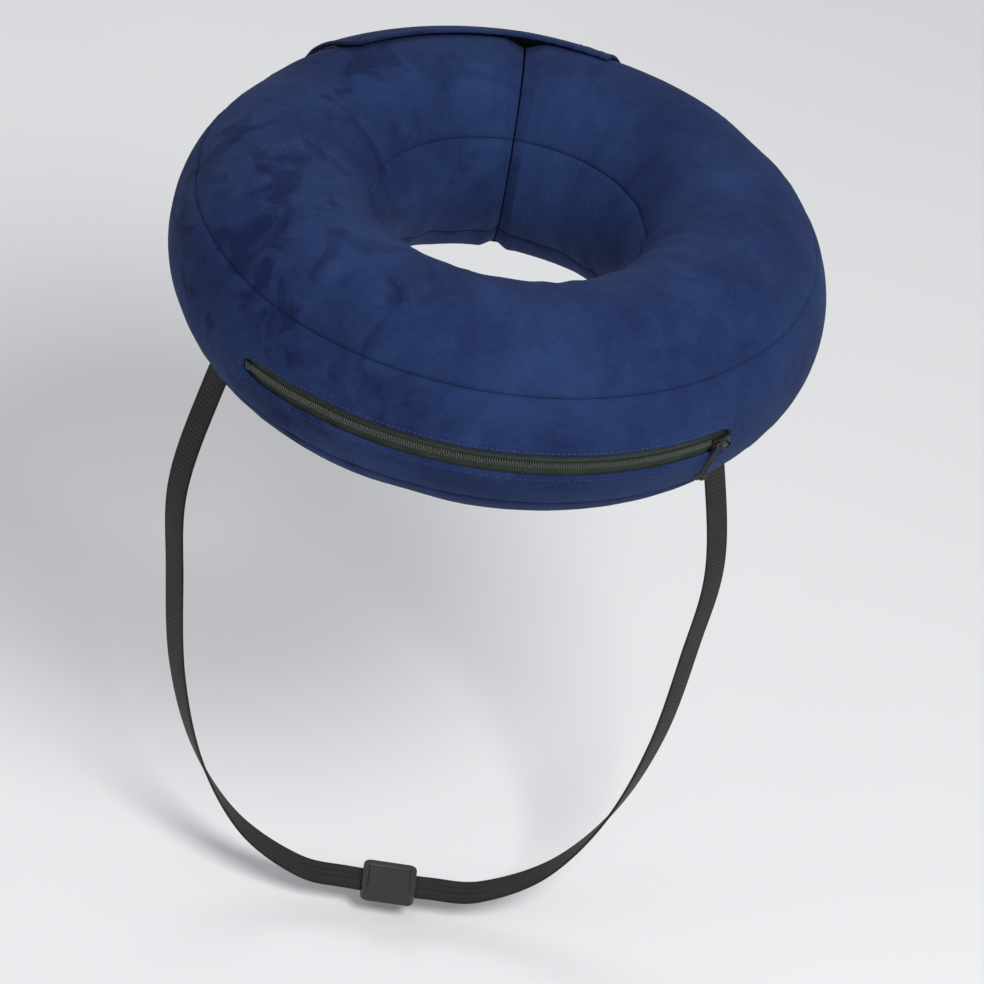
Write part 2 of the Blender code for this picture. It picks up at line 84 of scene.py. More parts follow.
FOLDS = [
    # around, first and last section, half-width in metres, depth in metres, drift in degrees
    (288, 92, 146, 0.0050, 0.0011, 5),
    (296, 104, 146, 0.0038, 0.0008, -4),
    (334, 84, 146, 0.0052, 0.0013, 6),
    (345, 96, 146, 0.0040, 0.0010, 3),
    (358, 88, 146, 0.0048, 0.0012, -5),
    (371, 100, 146, 0.0042, 0.0009, -3),
    (232, 98, 146, 0.0045, 0.0010, 4),
    (206, 90, 146, 0.0050, 0.0011, -6),
    (176, 100, 146, 0.0044, 0.0010, 5),
    (254, 108, 146, 0.0036, 0.0007, 3),
    (316, 106, 146, 0.0040, 0.0008, -3),
    (150, 96, 146, 0.0046, 0.0010, 4),
    (120, 98, 146, 0.0044, 0.0011, -4),
    (34, 92, 146, 0.0050, 0.0012, 5),
    (58, 100, 146, 0.0042, 0.0010, -5),
    (241, 8, 32, 0.0042, 0.0007, 4),
    (247, 12, 33, 0.0034, 0.0006, -3),
    (222, 36, 62, 0.0042, 0.0008, 5),
    (203, 35, 58, 0.0046, 0.0009, -6),
    (188, 36, 60, 0.0040, 0.0008, 4),
    (318, 35, 56, 0.0040, 0.0006, -4),
    (340, 36, 58, 0.0038, 0.0006, 4),
]


def turned(first, second):
    """The signed angles from first to second, in degrees from -180 to 180."""
    return (second - first + 180) % 360 - 180


def bump_at(distance, reach):
    return np.exp(-((distance / reach) ** 2))


def ripples(around, middle, seed):
    """An uneven wave round the ring, from -1 to 1 or so, of about middle waves in a full turn."""
    draw = np.random.default_rng(seed)
    wave = np.zeros_like(around)
    for count in range(int(middle * 0.72), int(middle * 1.3), 3):
        height, phase = draw.normal(), draw.uniform(0, 2 * math.pi)
        wave += height * np.cos(count * np.radians(around) + phase)
    return wave / (np.abs(wave).max() + 1e-9) * 1.25


def cover_dip(around, section):
    """How far the inflated cover lies inside its plain section."""
    dip = np.zeros_like(around)
    for dent_around, dent_section, length, width, depth in DENTS:
        reach = ring_radius + half_width * math.cos(math.radians(dent_section))
        along = np.radians(turned(dent_around, around)) * reach
        across = np.radians(turned(dent_section, section)) * half_height
        hollow = bump_at(along, length * TUBE_WIDTH) * bump_at(across, width * TUBE_WIDTH)
        dip += depth * TUBE_HEIGHT * hollow
    for seam in (OUTER_SEAM, -OUTER_SEAM, NECK_SEAM, -NECK_SEAM):
        dip += 0.0007 * bump_at(turned(seam, section), 4)
    for seam in (NECK_SEAM, -NECK_SEAM):
        wave = 0.5 + 0.5 * np.cos(18 * np.radians(around))
        dip += 0.0022 * wave * bump_at(turned(seam, section), 16)
    return dip


def fine_folds(around, section):
    """The puckers that the seams' thread draws in, and the longer pulls and wrinkles."""
    fold = np.zeros_like(around)
    for seam, count, depth, reach, seed in (
        (OUTER_SEAM, 132, 0.00062, 0.0105, 3),
        (-OUTER_SEAM, 126, 0.00060, 0.0100, 7),
        (NECK_SEAM, 58, 0.00105, 0.0150, 11),
        (-NECK_SEAM, 60, 0.00100, 0.0150, 13),
    ):
        away = np.abs(np.radians(turned(seam, section)) * half_height)
        sharp = 1 - np.abs(ripples(around, count, seed)).clip(0, 1)
        fold += depth * (sharp - 0.5) * np.exp(-away / reach)
        broad = ripples(around + 2.5 * np.sin(np.radians(section * 3)), count * 0.45, seed + 40)
        fold += depth * 0.55 * broad * np.exp(-away / (reach * 2.2))
    for fold_around, first, last, half, depth, drift in FOLDS:
        share = (section - first) / (last - first)
        line = fold_around + drift * (share - 0.5)
        reach = ring_radius + half_width * np.cos(np.radians(section))
        along = np.radians(turned(line, around)) * reach
        ends = 1 / (1 + np.exp(-(share - 0.12) * 18)) / (1 + np.exp((share - 1.02) * 26))
        trough = bump_at(along, half) - 0.45 * bump_at(np.abs(along) - 1.9 * half, half * 0.9)
        fold += depth * trough * ends
    return fold


def cover_points(around, section, lift, pinched=True):
    """Points at lift above the inflated cover's outer face, from arrays of both angles."""
    pinch = END_PINCH * np.maximum(0.0, 1 - np.abs(turned(OPENING, around)) / PINCH_REACH)
    size = 1 - pinch * (1 if pinched else 0)
    turn, slope = np.radians(around), np.radians(section)
    out, up = half_height * np.cos(slope), half_width * np.sin(slope)
    length = np.hypot(out, up)
    offset = lift - cover_dip(around, section)
    reach = ring_radius + size * half_width * np.cos(slope) + offset * out / length
    height = size * half_height * np.sin(slope) + offset * up / length
    return np.stack([reach * np.cos(turn), reach * np.sin(turn), height], -1)


def mesh_of(bm, name):
    """The mesh that finished bmesh work makes."""
    mesh = bpy.data.meshes.new(name)
    bm.to_mesh(mesh)
    bm.free()
    return mesh


def flat_cut(columns, rows, name):
    """A flat grid of cloth one unit square with its corner at the origin, as a mesh with a UV map."""
    bm = bmesh.new()
    bm.loops.layers.uv.new("cut")
    bmesh.ops.create_grid(bm, x_segments=columns, y_segments=rows, size=0.5, calc_uvs=True)
    bmesh.ops.translate(bm, verts=bm.verts, vec=(0.5, 0.5, 0))
    return mesh_of(bm, name)


def grid_places(mesh):
    """The flat places of a mesh's points, as two arrays from 0 to 1."""
    flat = np.empty(len(mesh.vertices) * 3)
    mesh.vertices.foreach_get("co", flat)
    return flat[0::3], flat[1::3]


def lay_out(mesh, points, size):
    """Moves the flat mesh onto its points, and scales its UV map to metres of cloth."""
    mesh.vertices.foreach_set("co", np.ascontiguousarray(points).ravel())
    uvs = mesh.uv_layers[0].data
    flat = np.empty(len(uvs) * 2)
    uvs.foreach_get("uv", flat)
    flat[0::2] *= size[0]
    flat[1::2] *= size[1]
    uvs.foreach_set("uv", flat)
    mesh.update()


BLOWN_COLUMNS, BLOWN_ROWS, BLOWN_STEPS = 600, 84, 14
BLOWN_SCALE = 10             # the cloth solver's settings suit cloth of about this many times the size
LOOSE_AT_SEAMS = 0.075       # how much longer the cloth is than the seam that gathers it
LOOSE_AT_NECK = 0.035        # and where the tube's bend crowds it together


def blown_relief():
    """The relief of the cover as simulated cloth, blown up with air and gathered in by its seams."""
    mesh = flat_cut(BLOWN_COLUMNS, BLOWN_ROWS, "blown")
    across, up = grid_places(mesh)
    around, section = column_angles(across), 360 * up - 180
    draw = np.random.default_rng(2)
    crumple = 0.00008 * draw.normal(size=len(around)) - 0.6 * fine_folds(around, section)
    lay_out(mesh, cover_points(around, section, crumple) * BLOWN_SCALE, (1, 1))
    piece = bpy.data.objects.new("blown", mesh)
    bpy.context.scene.collection.objects.link(piece)
    seams = (OUTER_SEAM, -OUTER_SEAM, NECK_SEAM, -NECK_SEAM)
    away = np.minimum.reduce([np.abs(np.radians(turned(seam, section)) * half_height) for seam in seams])
    loose = LOOSE_AT_SEAMS * bump_at(away, 0.011) * (1 - bump_at(away, 0.0025))
    loose += LOOSE_AT_NECK * (0.5 - 0.5 * np.cos(np.radians(section))) ** 2
    edge = (np.minimum(up, 1 - up) < 1e-6) | (np.minimum(across, 1 - across) < 1e-6)
    held, slack = piece.vertex_groups.new(name="held"), piece.vertex_groups.new(name="slack")
    for k in range(len(around)):
        held.add([k], 1.0 if edge[k] else 0.25, "REPLACE")
        slack.add([k], min(1.0, loose[k] / 0.1), "REPLACE")
    cloth = piece.modifiers.new("cloth", "CLOTH")
    for key, value in {
        "quality": 4, "mass": 0.1, "air_damping": 1.5, "tension_stiffness": 25, "compression_stiffness": 25,
        "shear_stiffness": 10, "bending_stiffness": 0.02, "use_pressure": True, "uniform_pressure_force": 14,
        "vertex_group_mass": "held", "pin_stiffness": 0.4, "vertex_group_shrink": "slack",
        "shrink_min": 0.0, "shrink_max": -0.1,
    }.items():
        setattr(cloth.settings, key, value)
    cloth.settings.effector_weights.gravity = 0
    cloth.collision_settings.use_collision = False
    cloth.point_cache.frame_end = BLOWN_STEPS
    for step in range(1, BLOWN_STEPS + 1):
        bpy.context.scene.frame_set(step)
    done = piece.evaluated_get(bpy.context.evaluated_depsgraph_get())
    flat = np.empty(len(around) * 3)
    done.data.vertices.foreach_get("co", flat)
    bpy.context.scene.frame_set(1)
    bpy.data.objects.remove(piece)
    plain = cover_points(around, section, np.zeros_like(around))
    outward = cover_points(around, section, np.full_like(around, 0.001)) - plain
    rise = np.einsum("ij,ij->i", flat.reshape(-1, 3) / BLOWN_SCALE - plain, outward / 0.001)
    rise = rise.reshape(BLOWN_ROWS + 1, BLOWN_COLUMNS + 1)
    return np.tanh((rise - rise.mean(axis=1, keepdims=True)) / 0.003) * 0.003


def spline_shares(step):
    """The shares of the four nearest values in a smooth curve, at a step from 0 to 1 past the second."""
    return (
        ((1 - 0.5 * step) * step - 0.5) * step, (1.5 * step - 2.5) * step**2 + 1,
        ((2 - 1.5 * step) * step + 0.5) * step, (0.5 * step - 0.5) * step**2,
    )


def cloth_rise(around, section):
    if relief is None:
        return -fine_folds(around, section)
    column = np.clip(turned(OPENING + 180, around) / 360 + 0.5, 0, 1) * BLOWN_COLUMNS
    row = np.clip(turned(0, section) / 360 + 0.5, 0, 1) * BLOWN_ROWS
    left, low = np.floor(column).astype(int), np.floor(row).astype(int)
    rise = np.zeros_like(column)
    for i, down in enumerate(spline_shares(row - low)):
        for j, along in enumerate(spline_shares(column - left)):
            rows = np.clip(low + i - 1, 0, BLOWN_ROWS)
            rise += down * along * relief[rows, np.clip(left + j - 1, 0, BLOWN_COLUMNS)]
    return rise


def finished(mesh, material, smooth=60):
    """Puts a mesh in the scene as a smooth-shaded piece that rides on the collar."""
    mesh.materials.clear()
    mesh.materials.append(material)
    mesh.shade_smooth()
    mesh.set_sharp_from_angle(angle=math.radians(smooth))
    piece = bpy.data.objects.new(mesh.name, mesh)
    bpy.context.scene.collection.objects.link(piece)
    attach(piece, "root")
    return piece


def thickened(piece, wall):
    """Gives a sheet its wall, inwards from the face that shows."""
    solid = piece.modifiers.new("wall", "SOLIDIFY")
    solid.thickness = wall
    solid.offset = -1
    return piece


def node(tree, kind, inputs=None, **settings):
    """One shader node, with its settings, and its inputs as values or as the sockets that feed them."""
    made = tree.nodes.new(kind)
    for key, value in settings.items():
        setattr(made, key, value)
    for key, value in (inputs or {}).items():
        if isinstance(value, bpy.types.NodeSocket):
            tree.links.new(value, made.inputs[key])
        else:
            made.inputs[key].default_value = value
    return made


def blend_colour(tree, share, first, second):
    mixed = node(tree, "ShaderNodeMix", data_type="RGBA")
    for socket, value in ((mixed.inputs[0], share), (mixed.inputs[6], first), (mixed.inputs[7], second)):
        if isinstance(value, bpy.types.NodeSocket):
            tree.links.new(value, socket)
        else:
            socket.default_value = value
    return mixed.outputs[2]


def calculate(tree, operation, *values, clamp=False):
    made = node(tree, "ShaderNodeMath", operation=operation, use_clamp=clamp)
    for socket, value in zip(made.inputs, values):
        if isinstance(value, bpy.types.NodeSocket):
            tree.links.new(value, socket)
        else:
            socket.default_value = value
    return made.outputs[0]


def noise(tree, place, scale, detail, **more):
    """Smooth noise at a place, as a value."""
    inputs = {"Vector": place, "Scale": scale, "Detail": detail, **more}
    return node(tree, "ShaderNodeTexNoise", inputs).outputs[0]


def coloured(tree, shader, share, first, second):
    tree.links.new(blend_colour(tree, share, first, second), shader.inputs["Base Color"])


def bumped(tree, shader, height, strength, distance):
    bump = node(tree, "ShaderNodeBump", {"Height": height, "Strength": strength, "Distance": distance})
    tree.links.new(bump.outputs[0], shader.inputs["Normal"])


def new_group(name, inputs, outputs):
    group = bpy.data.node_groups.new(name, "ShaderNodeTree")
    for label, kind, value in inputs:
        socket = group.interface.new_socket(label, in_out="INPUT", socket_type=kind)
        socket.default_value = value
    for label, kind in outputs:
        group.interface.new_socket(label, in_out="OUTPUT", socket_type=kind)
    return group, group.nodes.new("NodeGroupInput").outputs, group.nodes.new("NodeGroupOutput").inputs


def brushed_nap_group():
    """Brushed microfibre: soft tonal blotches where the nap lies differently, and a fine short pile."""
    group, given, out = new_group(
        "brushed nap",
        [
            ("Deep", "NodeSocketColor", (0.012, 0.024, 0.082, 1)),
            ("Raised", "NodeSocketColor", (0.030, 0.058, 0.165, 1)),
            ("Blotch", "NodeSocketFloat", 1.0),
        ],
        [("Colour", "NodeSocketColor"), ("Roughness", "NodeSocketFloat"), ("Height", "NodeSocketFloat")],
    )
    place = node(group, "ShaderNodeTexCoord").outputs["Object"]
    cloth = node(group, "ShaderNodeTexCoord").outputs["UV"]
    wide = noise(group, place, 17, 3, Roughness=0.55)
    patch = noise(group, place, 75, 4, Roughness=0.6)
    crushed_nap_and_shade = noise(group, place, 34, 4, Roughness=0.5, Distortion=0.6)
    # Dark patches of crushed nap, painted much heavier towards the collar's left side. That extra darkening
    # is painted shade of the side that the light from the front's upper right leaves darker.
    sideways = node(group, "ShaderNodeSeparateXYZ", {0: place}).outputs[0]
    painted_shade_left = calculate(group, "MULTIPLY_ADD", sideways, -5.5, 0.10, clamp=True)
    nap_and_shade_marks = calculate(group, "MULTIPLY_ADD", crushed_nap_and_shade, 9.0, -4.6, clamp=True)
    nap_and_shade_marks = calculate(group, "MULTIPLY", nap_and_shade_marks, calculate(group, "MULTIPLY_ADD", painted_shade_left, 0.75, 0.20))
    stroked = node(group, "ShaderNodeMapping", {"Vector": cloth, "Scale": (260, 1150, 1)})
    stroke = noise(group, stroked.outputs[0], 1, 3)
    pile = noise(group, place, 1500, 3, Roughness=0.7)
    tone = calculate(group, "MULTIPLY_ADD", wide, 1.5, -0.55)
    tone = calculate(group, "MULTIPLY", tone, given["Blotch"])
    tone = calculate(group, "MULTIPLY_ADD", patch, 0.55, tone)
    tone = calculate(group, "MULTIPLY_ADD", stroke, 0.55, tone)
    tone = calculate(group, "MULTIPLY_ADD", pile, 0.60, tone)
    tone = calculate(group, "SUBTRACT", tone, 0.56, clamp=True)
    # The dark patches darken the colour: crushed nap everywhere, and painted shade heaviest on the left side.
    tone = calculate(group, "MULTIPLY_ADD", nap_and_shade_marks, -0.62, tone, clamp=True)
    group.links.new(blend_colour(group, tone, given["Deep"], given["Raised"]), out["Colour"])
    group.links.new(calculate(group, "MULTIPLY_ADD", tone, -0.12, 0.92), out["Roughness"])
    group.links.new(calculate(group, "MULTIPLY_ADD", stroke, 0.8, pile), out["Height"])
    return group


def principled(name):
    """A new material, with its node tree and its shader."""
    material = bpy.data.materials.new(name)
    material.use_nodes = True
    return material, material.node_tree, material.node_tree.nodes["Principled BSDF"]


def microfibre(name, blotch=1.0, shade=1.0):
    material, tree, shader = principled(name)
    nap = node(tree, "ShaderNodeGroup", node_tree=brushed_nap)
    nap.inputs["Deep"].default_value = (0.0062 * shade, 0.0125 * shade, 0.054 * shade, 1)
    nap.inputs["Raised"].default_value = (0.0190 * shade, 0.0420 * shade, 0.128 * shade, 1)
    nap.inputs["Blotch"].default_value = blotch
    tree.links.new(nap.outputs["Colour"], shader.inputs["Base Color"])
    tree.links.new(nap.outputs["Roughness"], shader.inputs["Roughness"])
    bumped(tree, shader, nap.outputs["Height"], 0.5, 0.0004)
    shader.inputs["Sheen Weight"].default_value = 0.035
    shader.inputs["Sheen Roughness"].default_value = 0.45
    shader.inputs["Sheen Tint"].default_value = (0.45, 0.55, 0.95, 1)
    shader.inputs["Specular IOR Level"].default_value = 0.12
    return material


def column_angles(share):
    """The angle around for a share of the C, from one side of the split to the other."""
    return np.clip(OPENING + 360 * share, OPENING + SPLIT_HALF, OPENING + 360 - SPLIT_HALF)


def crowded(share, amount=0.62):
    """Shares from 0 to 1 that crowd together towards both ends."""
    return share - amount * np.sin(2 * math.pi * share) / (2 * math.pi)


def seam_lift(section, seams):
    """How far a panel's edges turn in at its seams."""
    away = [np.abs(np.radians(turned(seam, section)) * half_height) for seam in seams]
    return -SEAM_ROLL * bump_at(np.minimum.reduce(away), SEAM_ROLL_REACH)


def cover_panel(name, low, high, rows, material):
    mesh = flat_cut(PANEL_COLUMNS, rows, name)
    across, up = grid_places(mesh)
    around = column_angles(across)
    section = low + (high - low) * crowded(up)
    lift = seam_lift(section, (low, high)) + cloth_rise(around, section)
    points = cover_points(around, section, lift)
    lay_out(mesh, points, (2 * math.pi * ring_radius, math.radians(high - low) * half_height))
    piece = thickened(finished(mesh, material), FABRIC_WALL)
    return piece


relief = blown_relief()
brushed_nap = brushed_nap_group()
cover_cloth = microfibre("navy_microfibre")
top_cover = cover_panel("cover_top", OUTER_SEAM, NECK_SEAM, 64, cover_cloth)
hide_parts("top_panel")


# The underside and the neck sleeve
# The same cloth in two more cuts: one under the ring, and the band that lies round the neck, which the
# tube's bend makes gather along both of its seams.

bottom_cover = cover_panel("cover_bottom", -NECK_SEAM, -OUTER_SEAM, 60, cover_cloth)
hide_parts("bottom_panel")
sleeve = cover_panel("cover_neck_sleeve", NECK_SEAM, 360 - NECK_SEAM, 44, cover_cloth)
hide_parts("neck_sleeve")


# The side band
# The outer band of the cover between the two outer seams. A slot for the zipper is cut in its front, and
# the cloth is turned in round the slot and topstitched.

ZIP_MIDDLE = 270
ZIP_HALF_SPAN = 45
ZIP_LEVEL = -0.0025
ZIP_SLOT = 0.0135
HEM_WIDTH = 0.0062           # of the doubled cloth round the slot
HEM_RISE = 0.0006
TOPSTITCH_INSET = 0.0026     # from the slot's edge
LEFT_TAPER = 0.013           # the stretch over which the slot narrows at each end
RIGHT_TAPER = 0.006
zip_start, zip_end = ZIP_MIDDLE - ZIP_HALF_SPAN, ZIP_MIDDLE + ZIP_HALF_SPAN
outer_reach = ring_radius + half_width


def at_height(height):
    """The section angle of a height on the tube's outer side."""
    return math.degrees(math.asin(height / half_height))


level = at_height(ZIP_LEVEL)
slot_low, slot_high = at_height(ZIP_LEVEL - ZIP_SLOT / 2), at_height(ZIP_LEVEL + ZIP_SLOT / 2)
slot_middle, slot_half = (slot_low + slot_high) / 2, (slot_high - slot_low) / 2


def slot_share(around):
    """The slot's height as a share of its full height: it narrows over its last stretch at each end."""
    left = np.radians(around - zip_start) * outer_reach / LEFT_TAPER
    right = np.radians(zip_end - around) * outer_reach / RIGHT_TAPER
    return (0.34 + 0.66 * np.sqrt(np.clip(left, 0, 1))) * (0.6 + 0.4 * np.sqrt(np.clip(right, 0, 1)))


def slot_distance(around, section):
    """The distance from a place on the side band to the slot, in metres, and below 0 inside it."""
    beside = np.radians(np.maximum(zip_start - around, around - zip_end)) * outer_reach
    beyond = np.radians(np.abs(section - slot_middle) - slot_half * slot_share(around)) * half_height
    outside = np.hypot(np.maximum(beside, 0), np.maximum(beyond, 0))
    return outside + np.minimum(np.maximum(beside, beyond), 0)


ROWS_BELOW, ROWS_IN_SLOT, ROWS_ABOVE = 26, 2, 30
side_mesh = flat_cut(PANEL_COLUMNS, ROWS_BELOW + ROWS_IN_SLOT + ROWS_ABOVE, "cover_side")
across, up = grid_places(side_mesh)
side_around = column_angles(across)
row = up * (ROWS_BELOW + ROWS_IN_SLOT + ROWS_ABOVE)
half_slot = slot_half * slot_share(side_around)
edge_low, edge_high = slot_middle - half_slot, slot_middle + half_slot
above = (row - ROWS_BELOW - ROWS_IN_SLOT) / ROWS_ABOVE
side_section = np.where(
    row <= ROWS_BELOW + 0.01,
    -OUTER_SEAM + (edge_low + OUTER_SEAM) * crowded(row / ROWS_BELOW),
    np.where(
        row < ROWS_BELOW + ROWS_IN_SLOT - 0.01,
        edge_low + (edge_high - edge_low) * (row - ROWS_BELOW) / ROWS_IN_SLOT,
        edge_high + (OUTER_SEAM - edge_high) * crowded(above),
    ),
)
from_slot = slot_distance(side_around, side_section)
side_lift = cloth_rise(side_around, side_section) * (1 - bump_at(np.maximum(from_slot, 0), 0.008))
side_lift += seam_lift(side_section, (-OUTER_SEAM, OUTER_SEAM))
side_lift += HEM_RISE / (1 + np.exp((from_slot - HEM_WIDTH) / 0.0004))
side_lift -= 0.0016 * bump_at(from_slot, 0.0011)
side_lift -= 0.00035 * bump_at(from_slot - TOPSTITCH_INSET, 0.0006)
side_lift += 0.00022 * ripples(side_around, 190, 21) * np.exp(-from_slot / 0.006)
side_size = (2 * math.pi * ring_radius, math.radians(2 * OUTER_SEAM) * half_height)
lay_out(side_mesh, cover_points(side_around, side_section, side_lift), side_size)
side_cut = bmesh.new()
side_cut.from_mesh(side_mesh)
side_cut.verts.ensure_lookup_table()
in_slot = [
    face for face in side_cut.faces
    if np.mean([from_slot[v.index] for v in face.verts]) < -0.0002
    or max(from_slot[v.index] for v in face.verts) < 1e-6
]
bmesh.ops.delete(side_cut, geom=in_slot, context="FACES")
side_cut.to_mesh(side_mesh)
side_cut.free()
side_cover = thickened(finished(side_mesh, cover_cloth), FABRIC_WALL)
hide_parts("side_panel")


# The seams' stitches
# Navy thread that shows as short bars down in the seams' grooves, and as a row of topstitches round the
# zipper's slot. All of it is polyester thread about half a millimetre thick.

THREAD = 0.00055
STITCH_SHARE = 0.78          # of its pitch that a topstitch shows
TOPSTITCH_LIFT = 0.00022


def thread_cloth():
    material, tree, shader = principled("navy_thread")
    place = node(tree, "ShaderNodeTexCoord").outputs["Object"]
    ply = noise(tree, place, 2600, 2)
    coloured(tree, shader, ply, (0.010, 0.020, 0.070, 1), (0.040, 0.070, 0.185, 1))
    bumped(tree, shader, ply, 0.4, 0.0002)
    shader.inputs["Roughness"].default_value = 0.55
    return material


def facing(point, ahead, outward):
    """A frame at a point, with X along the row of stitches and Z out of the cloth."""
    along = (ahead - point).normalized()
    side = outward.cross(along).normalized()
    out = along.cross(side)
    return Matrix.Translation(point) @ Matrix((along, side, out)).transposed().to_4x4()


def small_ball(sides, rings):
    """A round bead of unit size, which the stitches and the teeth are drawn out from."""
    bm = bmesh.new()
    bmesh.ops.create_uvsphere(bm, u_segments=sides, v_segments=rings, radius=0.5)
    return mesh_of(bm, "bead")


def stitched(bm, frames, length, width, rise, bead=None):
    """One small rounded stitch at each frame."""
    shape = Matrix.Diagonal((length, width, rise, 1))
    for place in frames:
        stitch = (bead or stitch_bead).copy()
        stitch.transform(place @ shape)
        bm.from_mesh(stitch)
        bpy.data.meshes.remove(stitch)


stitch_bead = small_ball(6, 4)


def row_frames(angles, lift, turn_across=False, jitter=None):
    """Frames along a row of places on the cover, given as (around, section) pairs."""
    draw = np.random.default_rng(5)
    places = np.array(angles, float)
    step = 0.05
    here = cover_points(places[:, 0], places[:, 1], np.full(len(places), lift))
    out = cover_points(places[:, 0], places[:, 1], np.full(len(places), lift + 0.01)) - here
    if turn_across:
        ahead = cover_points(places[:, 0], places[:, 1] + step, np.full(len(places), lift))
    else:
        ahead = np.roll(here, -1, 0)
        ahead[-1] = 2 * here[-1] - here[-2]
    frames = []
    for point, on, outward in zip(here, ahead, out):
        place = facing(Vector(point), Vector(on), Vector(outward))
        if jitter:
            place = place @ Matrix.Rotation(draw.normal() * jitter, 4, "Z")
        frames.append(place)
    return frames


def arc_places(section, pitch, first=OPENING + 1.2, last=OPENING + 358.8):
    """Evenly spaced (around, section) places along one seam."""
    reach = ring_radius + half_width * math.cos(math.radians(section))
    count = int(math.radians(last - first) * reach / pitch)
    return [(first + (last - first) * k / count, section) for k in range(count + 1)]


SEAM_PITCH = 0.0030
seam_thread = bmesh.new()
for seam in (OUTER_SEAM, -OUTER_SEAM, NECK_SEAM, -NECK_SEAM):
    frames = row_frames(arc_places(seam, SEAM_PITCH), -0.0016, True, 0.22)
    stitched(seam_thread, frames, 0.0013, THREAD, THREAD)
slot_corner = math.degrees(TOPSTITCH_INSET / outer_reach)
slot_inset = math.degrees(TOPSTITCH_INSET / half_height)
for side in (-1, 1):
    places = [
        (around, slot_middle + side * (float(slot_share(around)) * slot_half + slot_inset))
        for around, _ in arc_places(level, SEAM_PITCH, zip_start, zip_end)
    ]
    stitched(seam_thread, row_frames(places, TOPSTITCH_LIFT), SEAM_PITCH * STITCH_SHARE, THREAD, THREAD)
for around in (zip_start - slot_corner, zip_end + slot_corner):
    end_half = float(slot_share(around)) * slot_half + slot_inset
    places = [(around, slot_middle + end_half * (k / 2 - 1)) for k in range(5)]
    stitched(seam_thread, row_frames(places, TOPSTITCH_LIFT), SEAM_PITCH * STITCH_SHARE, THREAD, THREAD)
seam_mesh = mesh_of(seam_thread, "seam_stitches")
navy_thread = thread_cloth()
finished(seam_mesh, navy_thread)


# The zipper's tapes
# Two strips of woven olive-charcoal polyester behind the slot, with a ribbed weave and a cord edge next
# to the teeth. They are sewn in under the slot's turned edges.

COVER_WALL = 0.002
TAPE_SINK = 0.0006
TAPE_WALL = 0.0007
TAPE_MARGIN = 0.005
COIL_HEIGHT = 0.005
COIL_RISE = 0.0016
tape_face = -COVER_WALL - TAPE_SINK


def weave_group():
    """A flat plain weave of two sets of yarns, on UVs in metres."""
    group, given, out = new_group(
        "woven yarns",
        [
            ("Along", "NodeSocketFloat", 1800.0),
            ("Across", "NodeSocketFloat", 1800.0),
            ("Fuzz", "NodeSocketFloat", 0.3),
        ],
        [("Height", "NodeSocketFloat"), ("Tone", "NodeSocketFloat")],
    )
    cloth = node(group, "ShaderNodeTexCoord").outputs["UV"]
    place = node(group, "ShaderNodeTexCoord").outputs["Object"]
    parts = node(group, "ShaderNodeSeparateXYZ", {0: cloth}).outputs
    along = calculate(group, "SINE", calculate(group, "MULTIPLY", parts[0], given["Along"]))
    over = calculate(group, "SINE", calculate(group, "MULTIPLY", parts[1], given["Across"]))
    crossed = calculate(group, "MULTIPLY", along, over)
    ribs = calculate(group, "ABSOLUTE", over)
    fuzz = noise(group, place, 1700, 3)
    height = calculate(group, "MULTIPLY_ADD", crossed, 0.5, ribs)
    height = calculate(group, "MULTIPLY_ADD", fuzz, given["Fuzz"], height)
    group.links.new(height, out["Height"])
    wide = noise(group, place, 120, 3)
    tone = calculate(group, "MULTIPLY_ADD", height, 0.35, calculate(group, "MULTIPLY", wide, 0.5))
    group.links.new(calculate(group, "ADD", tone, 0.0, clamp=True), out["Tone"])
    return group


def woven(name, deep, raised, along, across, roughness):
    material, tree, shader = principled(name)
    yarns = node(tree, "ShaderNodeGroup", node_tree=woven_yarns)
    yarns.inputs["Along"].default_value = along
    yarns.inputs["Across"].default_value = across
    coloured(tree, shader, yarns.outputs["Tone"], deep, raised)
    bumped(tree, shader, yarns.outputs["Height"], 0.8, 0.0003)
    shader.inputs["Roughness"].default_value = roughness
    shader.inputs["Specular IOR Level"].default_value = 0.3
    return material


woven_yarns = weave_group()
tape_cloth = woven(
    "olive_tape", (0.012, 0.018, 0.014, 1), (0.048, 0.062, 0.050, 1), 2 * math.pi / 0.0011,
    2 * math.pi / 0.0014, 0.75,
)
tape_margin = math.degrees(TAPE_MARGIN / outer_reach)
for name, node_name, inner, outer in (
    ("tape_upper", "zipper_tape_upper", level + 0.15, slot_high + math.degrees(TAPE_MARGIN / half_height)),
    ("tape_lower", "zipper_tape_lower", level - 0.15, slot_low - math.degrees(TAPE_MARGIN / half_height)),
):
    mesh = flat_cut(300, 12, name)
    across, up = grid_places(mesh)
    around = zip_start - tape_margin + (2 * ZIP_HALF_SPAN + 2 * tape_margin) * across
    low, high = min(inner, outer), max(inner, outer)
    section = low + (high - low) * up
    from_teeth = np.abs(section - level) * math.radians(1) * half_height - COIL_HEIGHT / 2
    cord = 0.0005 * bump_at(from_teeth - 0.0007, 0.0005)
    sag = 0.00025 * ripples(around, 60, 31) * np.clip(from_teeth / 0.003, 0, 1)
    lay_out(
        mesh, cover_points(around, section, tape_face + cord + sag),
        (math.radians(2 * ZIP_HALF_SPAN) * outer_reach, math.radians(high - low) * half_height),
    )
    tape = thickened(finished(mesh, tape_cloth), TAPE_WALL)
    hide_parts(node_name)


# The zipper's teeth
# A closed nylon coil: each tooth is one turn of monofilament, sewn to its tape's edge, and the upper and
# lower turns lock between each other on the middle line.

TOOTH_PITCH = 0.0014
TOOTH_LENGTH = 0.0031
TOOTH_WIDTH = 0.00098
STOP_LENGTH = 0.004


def coil_plastic():
    material, tree, shader = principled("olive_coil")
    place = node(tree, "ShaderNodeTexCoord").outputs["Object"]
    coloured(tree, shader, noise(tree, place, 420, 3), (0.030, 0.038, 0.033, 1), (0.085, 0.100, 0.084, 1))
    shader.inputs["Roughness"].default_value = 0.38
    return material


